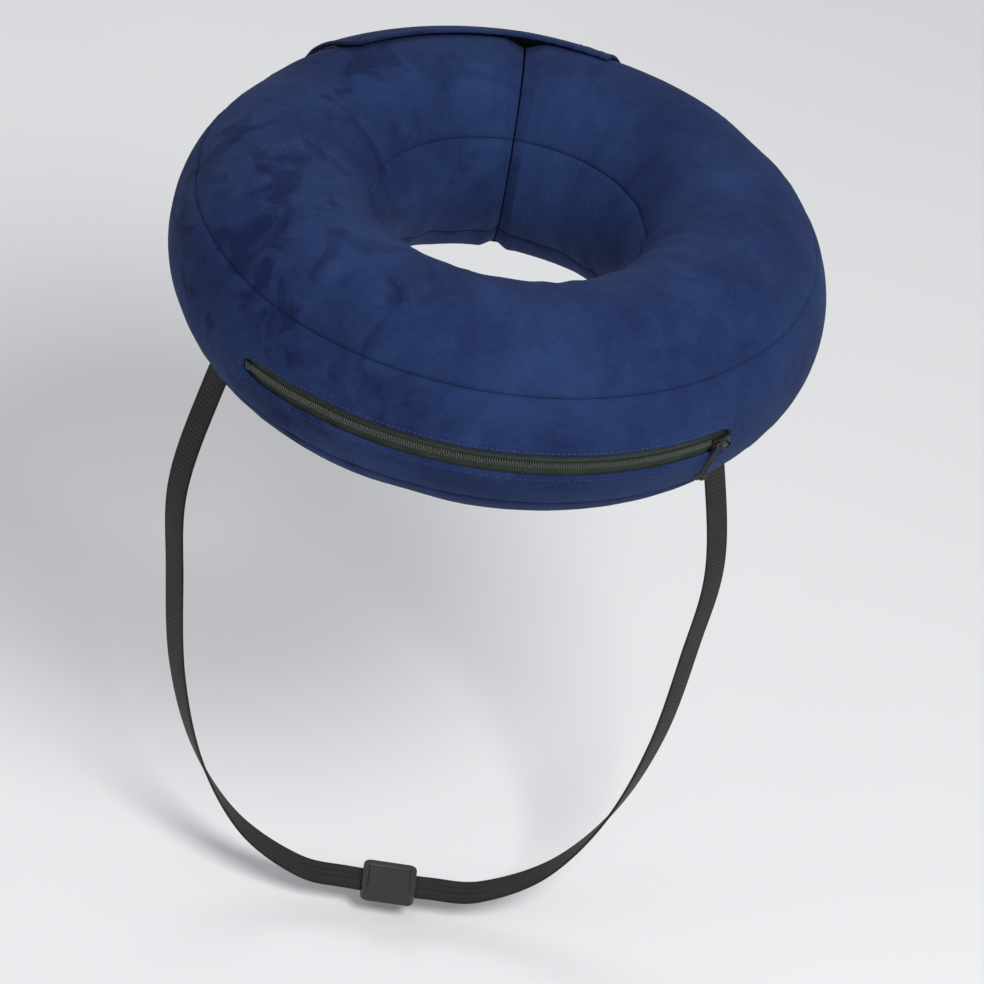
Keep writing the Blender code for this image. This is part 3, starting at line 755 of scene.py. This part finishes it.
def zip_frame(around, along=0.0, up=0.0, out=0.0, turn=0.0):
    """A frame on the zipper's middle line: X along it, Y up the cover, Z out of the cover."""
    section = math.radians(level)
    angle = math.radians(around)
    radial = Vector((math.cos(angle), math.sin(angle), 0))
    outward = math.cos(section) * radial + Vector((0, 0, math.sin(section)))
    onward = Vector((-math.sin(angle), math.cos(angle), 0))
    upward = outward.cross(onward)
    at = Vector(cover_points(np.array([around], float), np.array([level]), np.zeros(1))[0])
    axes = Matrix((onward, upward, outward)).transposed().to_4x4()
    place = Matrix.Translation(at) @ axes @ Matrix.Translation((along, up, out))
    return place @ Matrix.Rotation(math.radians(turn), 4, "Z")


coil = bmesh.new()
tooth_bead = small_ball(8, 6)
stop_turn = math.degrees(STOP_LENGTH / outer_reach)
teeth = int(math.radians(zip_end - zip_start - stop_turn) * outer_reach / (TOOTH_PITCH / 2))
for k in range(teeth):
    around = zip_start + stop_turn + (zip_end - zip_start - stop_turn) * (k + 0.5) / teeth
    side = 1 if k % 2 else -1
    mid = side * (COIL_HEIGHT - TOOTH_LENGTH) / 2
    place = zip_frame(around, 0, mid, tape_face + COIL_RISE * 0.52, side * 7)
    stitched(coil, [place], TOOTH_WIDTH, TOOTH_LENGTH, COIL_RISE * 0.96, tooth_bead)
coil_mesh = mesh_of(coil, "coil_teeth")
olive_coil = coil_plastic()
teeth_piece = finished(coil_mesh, olive_coil)
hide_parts("zipper_coil")


# The zipper's slider, pull and stop
# Die-cast parts in black enamel: a slider whose lips fold down over the teeth, an arched bail on its back,
# an open frame that hangs from the bail as the pull, and a crimped stop at the zipper's left end.

SLIDER_LENGTH = 0.012
SLIDER_WIDTH = 0.009
SLIDER_TAIL = 0.0064
SLIDER_BODY = 0.0024
BAIL_LENGTH = 0.0092
BAIL_HEIGHT = 0.0042
BAIL_WIRE = 0.0012
PULL_LENGTH = 0.024
PULL_WIDTH = 0.0095
PULL_TOP = 0.0056
PULL_WIRE = 0.0015
PULL_BAR = 0.0021            # over its enamel, which rounds the frame's bars
PULL_DROOP = 65


def black_enamel():
    material, tree, shader = principled("black_enamel")
    place = node(tree, "ShaderNodeTexCoord").outputs["Object"]
    tone = noise(tree, place, 650, 4)
    edge = node(tree, "ShaderNodeNewGeometry").outputs["Pointiness"]
    worn = calculate(tree, "MULTIPLY_ADD", edge, 9.0, -4.75, clamp=True)
    worn = calculate(tree, "MULTIPLY", worn, tone)
    coloured(tree, shader, worn, (0.006, 0.006, 0.007, 1), (0.045, 0.045, 0.048, 1))
    rough = calculate(tree, "MULTIPLY_ADD", tone, 0.25, 0.30)
    tree.links.new(rough, shader.inputs["Roughness"])
    shader.inputs["Specular IOR Level"].default_value = 0.35
    return material


def wire_mesh(name, points, radius, closed, resolution=4):
    """A round wire along points, as a mesh."""
    curve = bpy.data.curves.new(name, "CURVE")
    curve.dimensions = "3D"
    curve.bevel_depth = radius
    curve.bevel_resolution = resolution
    curve.use_fill_caps = True
    spline = curve.splines.new("POLY")
    spline.points.add(len(points) - 1)
    for made, point in zip(spline.points, points):
        made.co = (*point, 1)
    spline.use_cyclic_u = closed
    holder = bpy.data.objects.new(name, curve)
    mesh = bpy.data.meshes.new_from_object(holder)
    bpy.data.objects.remove(holder)
    mesh.name = name
    return mesh


def rounded_plate(bm, outline, low, high, edge, place, segments=3):
    """A flat plate with rounded edges, from its outline in X and Y."""
    base = [bm.verts.new((x, y, low)) for x, y in outline]
    face = bm.faces.new(base)
    pushed = bmesh.ops.extrude_face_region(bm, geom=[face])["geom"]
    top = [item for item in pushed if isinstance(item, bmesh.types.BMVert)]
    bmesh.ops.translate(bm, verts=top, vec=(0, 0, high - low))
    parts = set(base + top)
    edges = [e for e in bm.edges if e.verts[0] in parts and e.verts[1] in parts]
    made = bmesh.ops.bevel(
        bm, geom=edges, offset=edge, segments=segments, affect="EDGES", profile=0.5, material=-1
    )
    shaped = list({v for f in made["faces"] for v in f.verts} | {v for v in parts if v.is_valid})
    bmesh.ops.transform(bm, matrix=place, verts=shaped)
    return shaped


slider_turn = math.degrees((SLIDER_LENGTH / 2 + 0.0003) / outer_reach)
slider_around = zip_end - slider_turn
seat = tape_face + COIL_RISE + 0.0006
on_slider = zip_frame(slider_around)
slider_bm = bmesh.new()
nose, tail = SLIDER_WIDTH / 2, SLIDER_TAIL / 2
half_slider = SLIDER_LENGTH / 2
slider_outline = [
    (-half_slider, -tail), (0.1 * half_slider, -0.85 * nose), (0.7 * half_slider, -nose),
    (half_slider, -0.6 * nose), (half_slider, 0.6 * nose), (0.7 * half_slider, nose),
    (0.1 * half_slider, 0.85 * nose), (-half_slider, tail),
]
rounded_plate(slider_bm, slider_outline, seat + SLIDER_BODY * 0.35, seat + SLIDER_BODY, 0.0005, on_slider)
for side in (-1, 1):
    lip = [
        (-half_slider, side * tail), (0.1 * half_slider, side * 0.85 * nose),
        (0.7 * half_slider, side * nose), (0.7 * half_slider, side * (nose - 0.0011)),
        (0.1 * half_slider, side * (0.85 * nose - 0.0011)), (-half_slider, side * (tail - 0.0011)),
    ]
    rounded_plate(slider_bm, lip[::side], seat, seat + SLIDER_BODY * 0.8, 0.0003, on_slider, 2)
arch = []
for k in range(25):
    turn = math.pi * k / 24
    swing, rise = math.cos(turn), math.sin(turn) ** 0.55
    arch.append((
        swing * (BAIL_LENGTH - BAIL_WIRE) / 2, 0,
        seat + SLIDER_BODY - BAIL_WIRE / 2 + rise * (BAIL_HEIGHT + BAIL_WIRE / 2),
    ))
bail = wire_mesh("bail", arch, BAIL_WIRE / 2, False)
bail.transform(on_slider)
slider_bm.from_mesh(bail)
bmesh.ops.recalc_face_normals(slider_bm, faces=slider_bm.faces)
slider_mesh = mesh_of(slider_bm, "slider")
enamel = black_enamel()
slider = finished(slider_mesh, enamel, 35)
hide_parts("zipper_slider")

hang = PULL_WIRE / 2 + BAIL_WIRE / 2 + 0.0006
droop = math.radians(PULL_DROOP)
leg = -(BAIL_LENGTH - BAIL_WIRE) / 2
pull_path = []
CORNERS = [(0, -1, 225), (0, 1, 135), (1, 1, 45), (1, -1, -45)]
for far, side, middle in reversed(CORNERS):
    half = (PULL_WIDTH if far else PULL_TOP) / 2 - PULL_WIRE / 2
    bend = 0.0024 if far else 0.0016
    end = PULL_LENGTH - PULL_WIRE / 2 if far else 0.0
    centre = (end - bend if far else bend, side * (half - bend))
    for k in range(9):
        turn = math.radians(middle + 45 - 90 * k / 8)
        down, across = centre[0] + bend * math.cos(turn), centre[1] + bend * math.sin(turn)
        fall = down - hang
        pull_path.append((
            leg - fall * math.cos(droop) + across * math.sin(droop),
            -fall * math.sin(droop) - across * math.cos(droop),
            seat + SLIDER_BODY + 0.0006 + PULL_WIRE / 2,
        ))
pull_mesh = wire_mesh("pull_frame", pull_path, PULL_BAR / 2, True)
pull_mesh.transform(on_slider)
pull = finished(pull_mesh, enamel)
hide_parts("zipper_pull")

stop_bm = bmesh.new()
stop_half = COIL_HEIGHT / 2 + 0.0005
stop_outline = [
    (-STOP_LENGTH / 2, -stop_half), (STOP_LENGTH / 2, -stop_half),
    (STOP_LENGTH / 2, stop_half), (-STOP_LENGTH / 2, stop_half),
]
rounded_plate(
    stop_bm, stop_outline, tape_face + 0.0003, tape_face + COIL_RISE + 0.0003, 0.0006,
    zip_frame(zip_start + stop_turn / 2 + 0.1),
)
bmesh.ops.recalc_face_normals(stop_bm, faces=stop_bm.faces)
stop_mesh = mesh_of(stop_bm, "zipper_end_stop")
stop = finished(stop_mesh, enamel, 35)
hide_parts("zipper_stop")


# The closure tabs
# Two doubled pieces of the cover's cloth that bridge the split, sewn down at one end with a crossed box
# of stitches, bound round the edge and closed on the pile patch at the other.

TAB_SEWN_END = 70
TAB_FREE_END = 135
TAB_WALL = 0.002
TAB_ROUND = 0.012            # of the free end's corners
PATCH_WALL = 0.001
BINDING = 0.0045
tab_bands = {"upper": (23.8, 76.7), "lower": (-62.5, -8.3)}


def tab_lift(around):
    share = np.clip((around - TAB_SEWN_END) / (OPENING - TAB_SEWN_END), 0, 1)
    return 0.0003 + share * (0.0003 + PATCH_WALL)


tab_cloth = microfibre("navy_tab_cloth", 0.8, 0.92)
tab_thread = bmesh.new()
for label, (low, high) in tab_bands.items():
    mesh = flat_cut(150, 72, "tab_" + label)
    across, up = grid_places(mesh)
    middle = (low + high) / 2
    tab_reach = ring_radius + half_width * math.cos(math.radians(middle))
    tab_length = math.radians(TAB_FREE_END - TAB_SEWN_END) * tab_reach
    tab_height = math.radians(high - low) * half_height
    from_side = np.minimum(up, 1 - up) * tab_height
    cut_back = TAB_ROUND - np.sqrt(np.maximum(TAB_ROUND**2 - np.maximum(TAB_ROUND - from_side, 0) ** 2, 0))
    along = across * (tab_length - cut_back)
    around = TAB_SEWN_END + np.degrees(along / tab_reach)
    section = low + (high - low) * up
    corner = np.hypot(
        np.maximum(along - (tab_length - TAB_ROUND), 0), np.maximum(TAB_ROUND - from_side, 0)
    )
    from_edge = np.where(
        (along > tab_length - TAB_ROUND) & (from_side < TAB_ROUND), TAB_ROUND - corner,
        np.minimum(from_side, np.minimum(along, tab_length - along)),
    )
    lift = tab_lift(around) + TAB_WALL
    lift += 0.0005 / (1 + np.exp((from_edge - BINDING) / 0.00025))
    lift -= 0.0010 * bump_at(from_edge, 0.0009)
    lift += 0.00025 * ripples(around, 90, 51) * np.exp(-from_edge / 0.006)
    lift -= 0.0004 * bump_at(from_edge - BINDING + 0.0009, 0.0005)
    lay_out(mesh, cover_points(around, section, lift, False), (tab_length, tab_height))
    tab = thickened(finished(mesh, tab_cloth), TAB_WALL * 0.9)
    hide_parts("closure_tab_" + label)

    inset = BINDING - 0.0009
    edge_turn, edge_slope = math.degrees(inset / tab_reach), math.degrees(inset / half_height)
    first, last = TAB_SEWN_END + edge_turn, TAB_FREE_END - edge_turn
    bottom, top = low + edge_slope, high - edge_slope
    bend_turn = math.degrees((TAB_ROUND - inset) / tab_reach)
    bend_slope = math.degrees((TAB_ROUND - inset) / half_height)
    outline = [(first, bottom), (last - bend_turn, bottom)]
    for k in range(1, 6):
        turn = math.radians(90 * k / 6)
        outline.append((
            last - bend_turn + bend_turn * math.sin(turn), bottom + bend_slope - bend_slope * math.cos(turn)
        ))
    outline += [(last, bottom + bend_slope), (last, top - bend_slope)]
    for k in range(1, 6):
        turn = math.radians(90 * k / 6)
        outline.append((
            last - bend_turn + bend_turn * math.cos(turn), top - bend_slope + bend_slope * math.sin(turn)
        ))
    outline += [(last - bend_turn, top), (first, top), (first, bottom)]
    box_end = first + math.degrees(0.020 / tab_reach)
    runs = [outline, [(box_end, bottom), (box_end, top)], [(first, bottom), (box_end, top)],
            [(first, top), (box_end, bottom)]]
    for run in runs:
        for (a0, s0), (a1, s1) in zip(run, run[1:]):
            length = math.hypot(math.radians(a1 - a0) * tab_reach, math.radians(s1 - s0) * half_height)
            count = max(1, round(length / SEAM_PITCH))
            spots = [(a0 + (a1 - a0) * k / count, s0 + (s1 - s0) * k / count) for k in range(count + 1)]
            places = np.array(spots)
            tops = cover_points(places[:, 0], places[:, 1], tab_lift(places[:, 0]) + TAB_WALL + 0.0001, False)
            outs = cover_points(places[:, 0], places[:, 1], tab_lift(places[:, 0]) + 0.01, False) - tops
            for k in range(count):
                here, after = Vector(tops[k]), Vector(tops[k + 1])
                place = facing((here + after) / 2, after, Vector(outs[k]))
                stitched(tab_thread, [place], (after - here).length * STITCH_SHARE, THREAD, THREAD)
tab_thread_mesh = mesh_of(tab_thread, "tab_stitches")
finished(tab_thread_mesh, navy_thread)


# The pile patches
# The soft halves of the hook and loop fastening: dark squares of looped pile sewn to the cover under the
# free end of each tab.

PATCH_START = 95


def loop_pile():
    material, tree, shader = principled("dark_loop_pile")
    place = node(tree, "ShaderNodeTexCoord").outputs["Object"]
    loops = node(tree, "ShaderNodeTexVoronoi", {"Vector": place, "Scale": 900})
    coloured(tree, shader, loops.outputs["Distance"], (0.030, 0.036, 0.065, 1), (0.005, 0.007, 0.016, 1))
    bumped(tree, shader, loops.outputs["Distance"], 0.9, 0.0005)
    shader.inputs["Roughness"].default_value = 0.95
    return material


pile = loop_pile()
patch_bands = {"upper": (34.0, 62.5), "lower": (-48.3, -21.1)}
for label, (low, high) in patch_bands.items():
    mesh = flat_cut(80, 40, "patch_" + label)
    across, up = grid_places(mesh)
    around = PATCH_START + (TAB_FREE_END - PATCH_START) * across
    section = low + (high - low) * up
    edge = np.minimum(np.minimum(across, 1 - across) * 3, np.minimum(up, 1 - up))
    lift = 0.0003 + PATCH_WALL * np.clip(0.55 + edge * 12, 0.55, 1)
    size = (math.radians(TAB_FREE_END - PATCH_START) * ring_radius, math.radians(high - low) * half_height)
    lay_out(mesh, cover_points(around, section, lift), size)
    patch = thickened(finished(mesh, pile), PATCH_WALL * 0.9)
    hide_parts("loop_patch_" + label)


# The end walls
# Two pieces of the cover's cloth that close the ends of the C. They stay as packed, because only a thin
# line of them shows between the tabs, and take the cover's cloth.

for name in ("end_wall_left", "end_wall_right"):
    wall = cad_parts[name]
    wall.data.materials.clear()
    wall.data.materials.append(cover_cloth)


# The security strap
# One loop of black polypropylene webbing, woven with ribs across it and a tight selvage along each edge.
# It runs under the back of the ring through two keepers, and hangs forward as it lies on the chest.

STRAP_WIDTH = 0.020
STRAP_WALL = 0.0018
STRAP_REACH = 0.168
STRAP_DROP = 0.375
STRAP_LEAN = 20
STRAP_SPREAD = 45
STRAP_SHIFT = 0.012
STRAP_HANG = [
    # distance from the middle and drop, as shares of STRAP_REACH and STRAP_DROP, and turn of the width
    (0.705, 0.012, 0.85),
    (0.815, 0.085, 0.80),
    (0.925, 0.245, 0.75),
    (0.993, 0.400, 0.75),
    (0.960, 0.540, 0.72),
    (0.900, 0.695, 0.66),
    (0.780, 0.830, 0.50),
    (0.590, 0.935, 0.30),
    (0.350, 0.992, 0.12),
    (0.150, 1.000, 0.00),
]
STRAP_STEPS = 28             # smooth steps between the route's points


def strap_hang(side, drop):
    height = -(half_height + 0.0003 + STRAP_WALL / 2)
    back = ring_radius * math.cos(math.radians(STRAP_SPREAD)) - STRAP_SHIFT
    fall = drop * STRAP_DROP
    return Vector((side * STRAP_REACH, back - math.tan(math.radians(STRAP_LEAN)) * fall, height - fall))


def strap_route():
    """The strap's centreline and its width's direction, as a closed loop that starts behind the neck."""
    left = []
    for k in range(7):
        turn = math.radians(OPENING + STRAP_SPREAD * k / 6)
        way = Vector((math.cos(turn), math.sin(turn), 0))
        left.append((ring_radius * way + Vector((0, 0, strap_hang(0, 0).z)), way))
    for side, drop, turn in STRAP_HANG:
        left.append((strap_hang(-side, drop), Vector((-turn, 1, 0))))
    right = [(Vector((-p.x, p.y, p.z)), Vector((-w.x, w.y, w.z))) for p, w in reversed(left[1:])]
    return left + right


def smooth_loop(points, steps):
    """Points on a smooth closed curve through the given ones."""
    made = []
    count = len(points)
    for k in range(count):
        a, b, c, d = (points[(k + i - 1) % count] for i in range(4))
        for step in range(steps):
            t = step / steps
            bend = (2 * a - 5 * b + 4 * c - d) * t**2
            swing = (3 * b - a - 3 * c + d) * t**3
            made.append(0.5 * (2 * b + (c - a) * t + bend + swing))
    return made


def strap_section(share):
    """The webbing's section: shares across and through it, for a share of the way round its edge."""
    turn = 2 * math.pi * share
    across = np.sign(np.cos(turn)) * np.abs(np.cos(turn)) ** 0.28
    through = np.sign(np.sin(turn)) * np.abs(np.sin(turn)) ** 0.45
    edge = bump_at(np.abs(across) - 0.88, 0.07)
    return across, through * (0.90 + 0.10 * edge - 0.10 * bump_at(np.abs(across) - 0.76, 0.03))


def webbing_cloth():
    """Ribbed webbing on UVs in metres: the first runs along the strap and the second round its edge."""
    material, tree, shader = principled("black_webbing_weave")
    cloth = node(tree, "ShaderNodeTexCoord").outputs["UV"]
    place = node(tree, "ShaderNodeTexCoord").outputs["Object"]
    parts = node(tree, "ShaderNodeSeparateXYZ", {0: cloth}).outputs
    wobble = noise(tree, place, 240, 2)
    along = calculate(tree, "MULTIPLY_ADD", wobble, 0.0006, parts[0])
    rib = calculate(tree, "SINE", calculate(tree, "MULTIPLY", along, 2 * math.pi / 0.0016))
    yarn = calculate(tree, "SINE", calculate(tree, "MULTIPLY", parts[1], 2 * math.pi / 0.0011))
    crossed = calculate(tree, "MULTIPLY", rib, yarn)
    fuzz = noise(tree, place, 2100, 3)
    height = calculate(tree, "MULTIPLY_ADD", crossed, 0.55, calculate(tree, "MULTIPLY", rib, 0.45))
    height = calculate(tree, "MULTIPLY_ADD", fuzz, 0.5, height)
    bumped(tree, shader, height, 0.9, 0.0003)
    worn = calculate(tree, "MULTIPLY_ADD", noise(tree, place, 60, 3), 0.5, 0.05)
    tone = calculate(tree, "MULTIPLY_ADD", height, 0.28, worn, clamp=True)
    coloured(tree, shader, tone, (0.007, 0.006, 0.006, 1), (0.034, 0.030, 0.030, 1))
    shader.inputs["Roughness"].default_value = 0.62
    shader.inputs["Specular IOR Level"].default_value = 0.35
    return material


route = strap_route()
strap_line = smooth_loop([p for p, w in route], STRAP_STEPS)
strap_widths = smooth_loop([w for p, w in route], STRAP_STEPS)
strap_frames = []
for k, point in enumerate(strap_line):
    onward = (strap_line[(k + 1) % len(strap_line)] - strap_line[k - 1]).normalized()
    across = (strap_widths[k] - strap_widths[k].dot(onward) * onward).normalized()
    strap_frames.append((point, across, onward.cross(across)))
strap_run = sum((strap_line[k] - strap_line[k - 1]).length for k in range(len(strap_line)))
STRAP_ROUND = 32
strap_mesh = flat_cut(len(strap_line), STRAP_ROUND, "strap_webbing")
across, up = grid_places(strap_mesh)
column = np.rint(across * len(strap_line)).astype(int) % len(strap_line)
wide, deep = strap_section(up)
centres = np.array([f[0] for f in strap_frames])[column]
sideways = np.array([f[1] for f in strap_frames])[column]
throughs = np.array([f[2] for f in strap_frames])[column]
strap_points = (
    centres + sideways * (wide * STRAP_WIDTH / 2)[:, None] + throughs * (deep * STRAP_WALL / 2)[:, None]
)
lay_out(strap_mesh, strap_points, (strap_run, 2 * (STRAP_WIDTH + STRAP_WALL)))
strap_bm = bmesh.new()
strap_bm.from_mesh(strap_mesh)
bmesh.ops.remove_doubles(strap_bm, verts=strap_bm.verts, dist=0.000004)
bmesh.ops.recalc_face_normals(strap_bm, faces=strap_bm.faces)
strap_bm.to_mesh(strap_mesh)
strap_bm.free()
black_webbing = webbing_cloth()
strap = finished(strap_mesh, black_webbing)
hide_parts("security_strap")


# The strap's keepers
# Two short bridges of the same webbing under the back of the ring, each sewn down at both ends with a
# dense bar of stitches, so that the strap can slide through.

KEEPER_SPREAD = 30
KEEPER_LENGTH = 0.020
KEEPER_WALL = 0.0015
KEEPER_FOOT = 0.011
keeper_half = math.degrees(KEEPER_LENGTH / 2 / ring_radius)
strap_edge = math.degrees((STRAP_WIDTH / 2 + 0.0006) / half_width)
bridge = half_height * (1 - math.cos(math.radians(strap_edge))) + STRAP_WALL + 0.0009
foot = math.degrees(KEEPER_FOOT / half_width)
bar_thread = bmesh.new()
for label, side in (("left", 1), ("right", -1)):
    mesh = flat_cut(36, 60, "keeper_" + label)
    across, up = grid_places(mesh)
    middle = OPENING + side * KEEPER_SPREAD
    around = middle - keeper_half + 2 * keeper_half * across
    section = -90 + (strap_edge + foot) * (2 * up - 1)
    away = np.abs(section + 90)
    lift = 0.0003 + (bridge - 0.0003) * np.clip((strap_edge + foot / 4 - away) / (foot / 4), 0, 1)
    lift += KEEPER_WALL
    lay_out(mesh, cover_points(around, section, lift), (KEEPER_LENGTH, 2 * (STRAP_WIDTH / 2 + KEEPER_FOOT)))
    keeper = thickened(finished(mesh, black_webbing), KEEPER_WALL * 0.93)
    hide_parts("strap_keeper_" + label)
    for end in (-1, 1):
        for k in range(22):
            spot = middle - keeper_half * 0.82 + keeper_half * 1.64 * k / 21
            line = -90 + end * (strap_edge + foot * 0.62)
            frames = row_frames([(spot, line)] * 2, 0.0003 + KEEPER_WALL + 0.0001, True)[:1]
            stitched(bar_thread, frames, 0.0042, 0.0008, 0.0006)
bar_mesh = mesh_of(bar_thread, "keeper_bar_stitches")
finished(bar_mesh, black_webbing)


# The strap's buckle
# A plain closed buckle of moulded black plastic on the strap's lowest stretch, with rounded edges and a
# sunk middle on both faces.

BUCKLE_LENGTH = 0.034
BUCKLE_WIDTH = 0.029
BUCKLE_HEIGHT = 0.0085
BUCKLE_CLEARANCE = 0.0004


def moulded_plastic():
    material, tree, shader = principled("moulded_black")
    place = node(tree, "ShaderNodeTexCoord").outputs["Object"]
    grain = noise(tree, place, 1900, 2)
    coloured(tree, shader, grain, (0.008, 0.008, 0.008, 1), (0.018, 0.018, 0.018, 1))
    tree.links.new(calculate(tree, "MULTIPLY_ADD", grain, 0.2, 0.32), shader.inputs["Roughness"])
    bumped(tree, shader, grain, 0.25, 0.0001)
    return material


lowest = strap_hang(0, 1)
buckle_bm = bmesh.new()
shape = Matrix.Diagonal((BUCKLE_LENGTH, BUCKLE_WIDTH, BUCKLE_HEIGHT, 1))
bmesh.ops.create_cube(buckle_bm, size=1, matrix=shape)
upright = [e for e in buckle_bm.edges if abs((e.verts[0].co - e.verts[1].co).z) > 0.001]
bmesh.ops.bevel(
    buckle_bm, geom=upright, offset=0.0045, segments=6, affect="EDGES", profile=0.5, material=-1
)
flats = [f for f in buckle_bm.faces if abs(f.normal.z) > 0.9]
bmesh.ops.inset_individual(buckle_bm, faces=flats, thickness=0.0034, depth=0.0)
bmesh.ops.inset_individual(buckle_bm, faces=flats, thickness=0.0008, depth=-0.0009)
buckle_mesh = mesh_of(buckle_bm, "buckle")
buckle_mesh.transform(Matrix.Translation(lowest))
plastic = moulded_plastic()
buckle = finished(buckle_mesh, plastic, 35)
soften = buckle.modifiers.new("edges", "BEVEL")
soften.width = 0.0008
soften.segments = 3
soften.limit_method = "ANGLE"
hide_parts("strap_buckle")


# The floor, the light and the camera
# A plain pale floor under the collar, which hangs above it as it does on the wearer, soft studio light
# from the front's upper right, and the camera at the photograph's angle.

FLOOR_LEVEL = -0.46
CAMERA_AZIMUTH = -3.75
CAMERA_ELEVATION = 37
CAMERA_ROLL = 10.9
CAMERA_DISTANCE = 2.27
FRAME_WIDTH = 0.585          # of what the picture takes in at the collar
AIM = Vector((0.020, -0.02, -0.150))


def pale_floor():
    material, tree, shader = principled("pale_floor")
    place = node(tree, "ShaderNodeTexCoord").outputs["Object"]
    coloured(tree, shader, noise(tree, place, 3, 2), (0.83, 0.83, 0.83, 1), (0.86, 0.86, 0.86, 1))
    shader.inputs["Roughness"].default_value = 0.9
    return material


floor_bm = bmesh.new()
bmesh.ops.create_grid(floor_bm, x_segments=1, y_segments=1, size=6)
bmesh.ops.translate(floor_bm, verts=floor_bm.verts, vec=(0, 0, FLOOR_LEVEL))
floor_mesh = mesh_of(floor_bm, "floor")
floor_mesh.materials.append(pale_floor())
floor = bpy.data.objects.new("floor", floor_mesh)
bpy.context.scene.collection.objects.link(floor)

LIGHTS = [
    # name, place, size, watts
    ("key", (0.75, -1.35, 1.75), 1.0, 46),
    ("fill", (-1.7, -1.1, 0.9), 1.6, 5),
    ("back", (-0.6, 1.7, 1.4), 1.2, 8),
]
for name, place, size, watts in LIGHTS:
    lamp = bpy.data.lights.new(name, "AREA")
    lamp.shape = "DISK"
    lamp.size = size
    lamp.energy = watts
    light = bpy.data.objects.new(name, lamp)
    light.location = place
    light.rotation_mode = "QUATERNION"
    light.rotation_quaternion = (Vector((0, 0, -0.1)) - Vector(place)).to_track_quat("-Z", "Y")
    bpy.context.scene.collection.objects.link(light)

world = bpy.data.worlds.new("studio")
world.use_nodes = True
world.node_tree.nodes["Background"].inputs["Color"].default_value = (0.93, 0.95, 1.0, 1)
world.node_tree.nodes["Background"].inputs["Strength"].default_value = 0.42
bpy.context.scene.world = world
bpy.context.scene.view_settings.view_transform = "Standard"

azimuth, elevation = math.radians(CAMERA_AZIMUTH), math.radians(CAMERA_ELEVATION)
towards = Vector((
    math.sin(azimuth) * math.cos(elevation), -math.cos(azimuth) * math.cos(elevation), math.sin(elevation)
))
lens = bpy.data.cameras.new("camera")
lens.lens = lens.sensor_width * CAMERA_DISTANCE / FRAME_WIDTH
lens.clip_start = 0.1
camera = bpy.data.objects.new("camera", lens)
camera.location = AIM + towards * CAMERA_DISTANCE
camera.rotation_mode = "QUATERNION"
roll = Quaternion((0, 0, 1), math.radians(CAMERA_ROLL))
camera.rotation_quaternion = (-towards).to_track_quat("-Z", "Y") @ roll
bpy.context.scene.collection.objects.link(camera)
bpy.context.scene.camera = camera
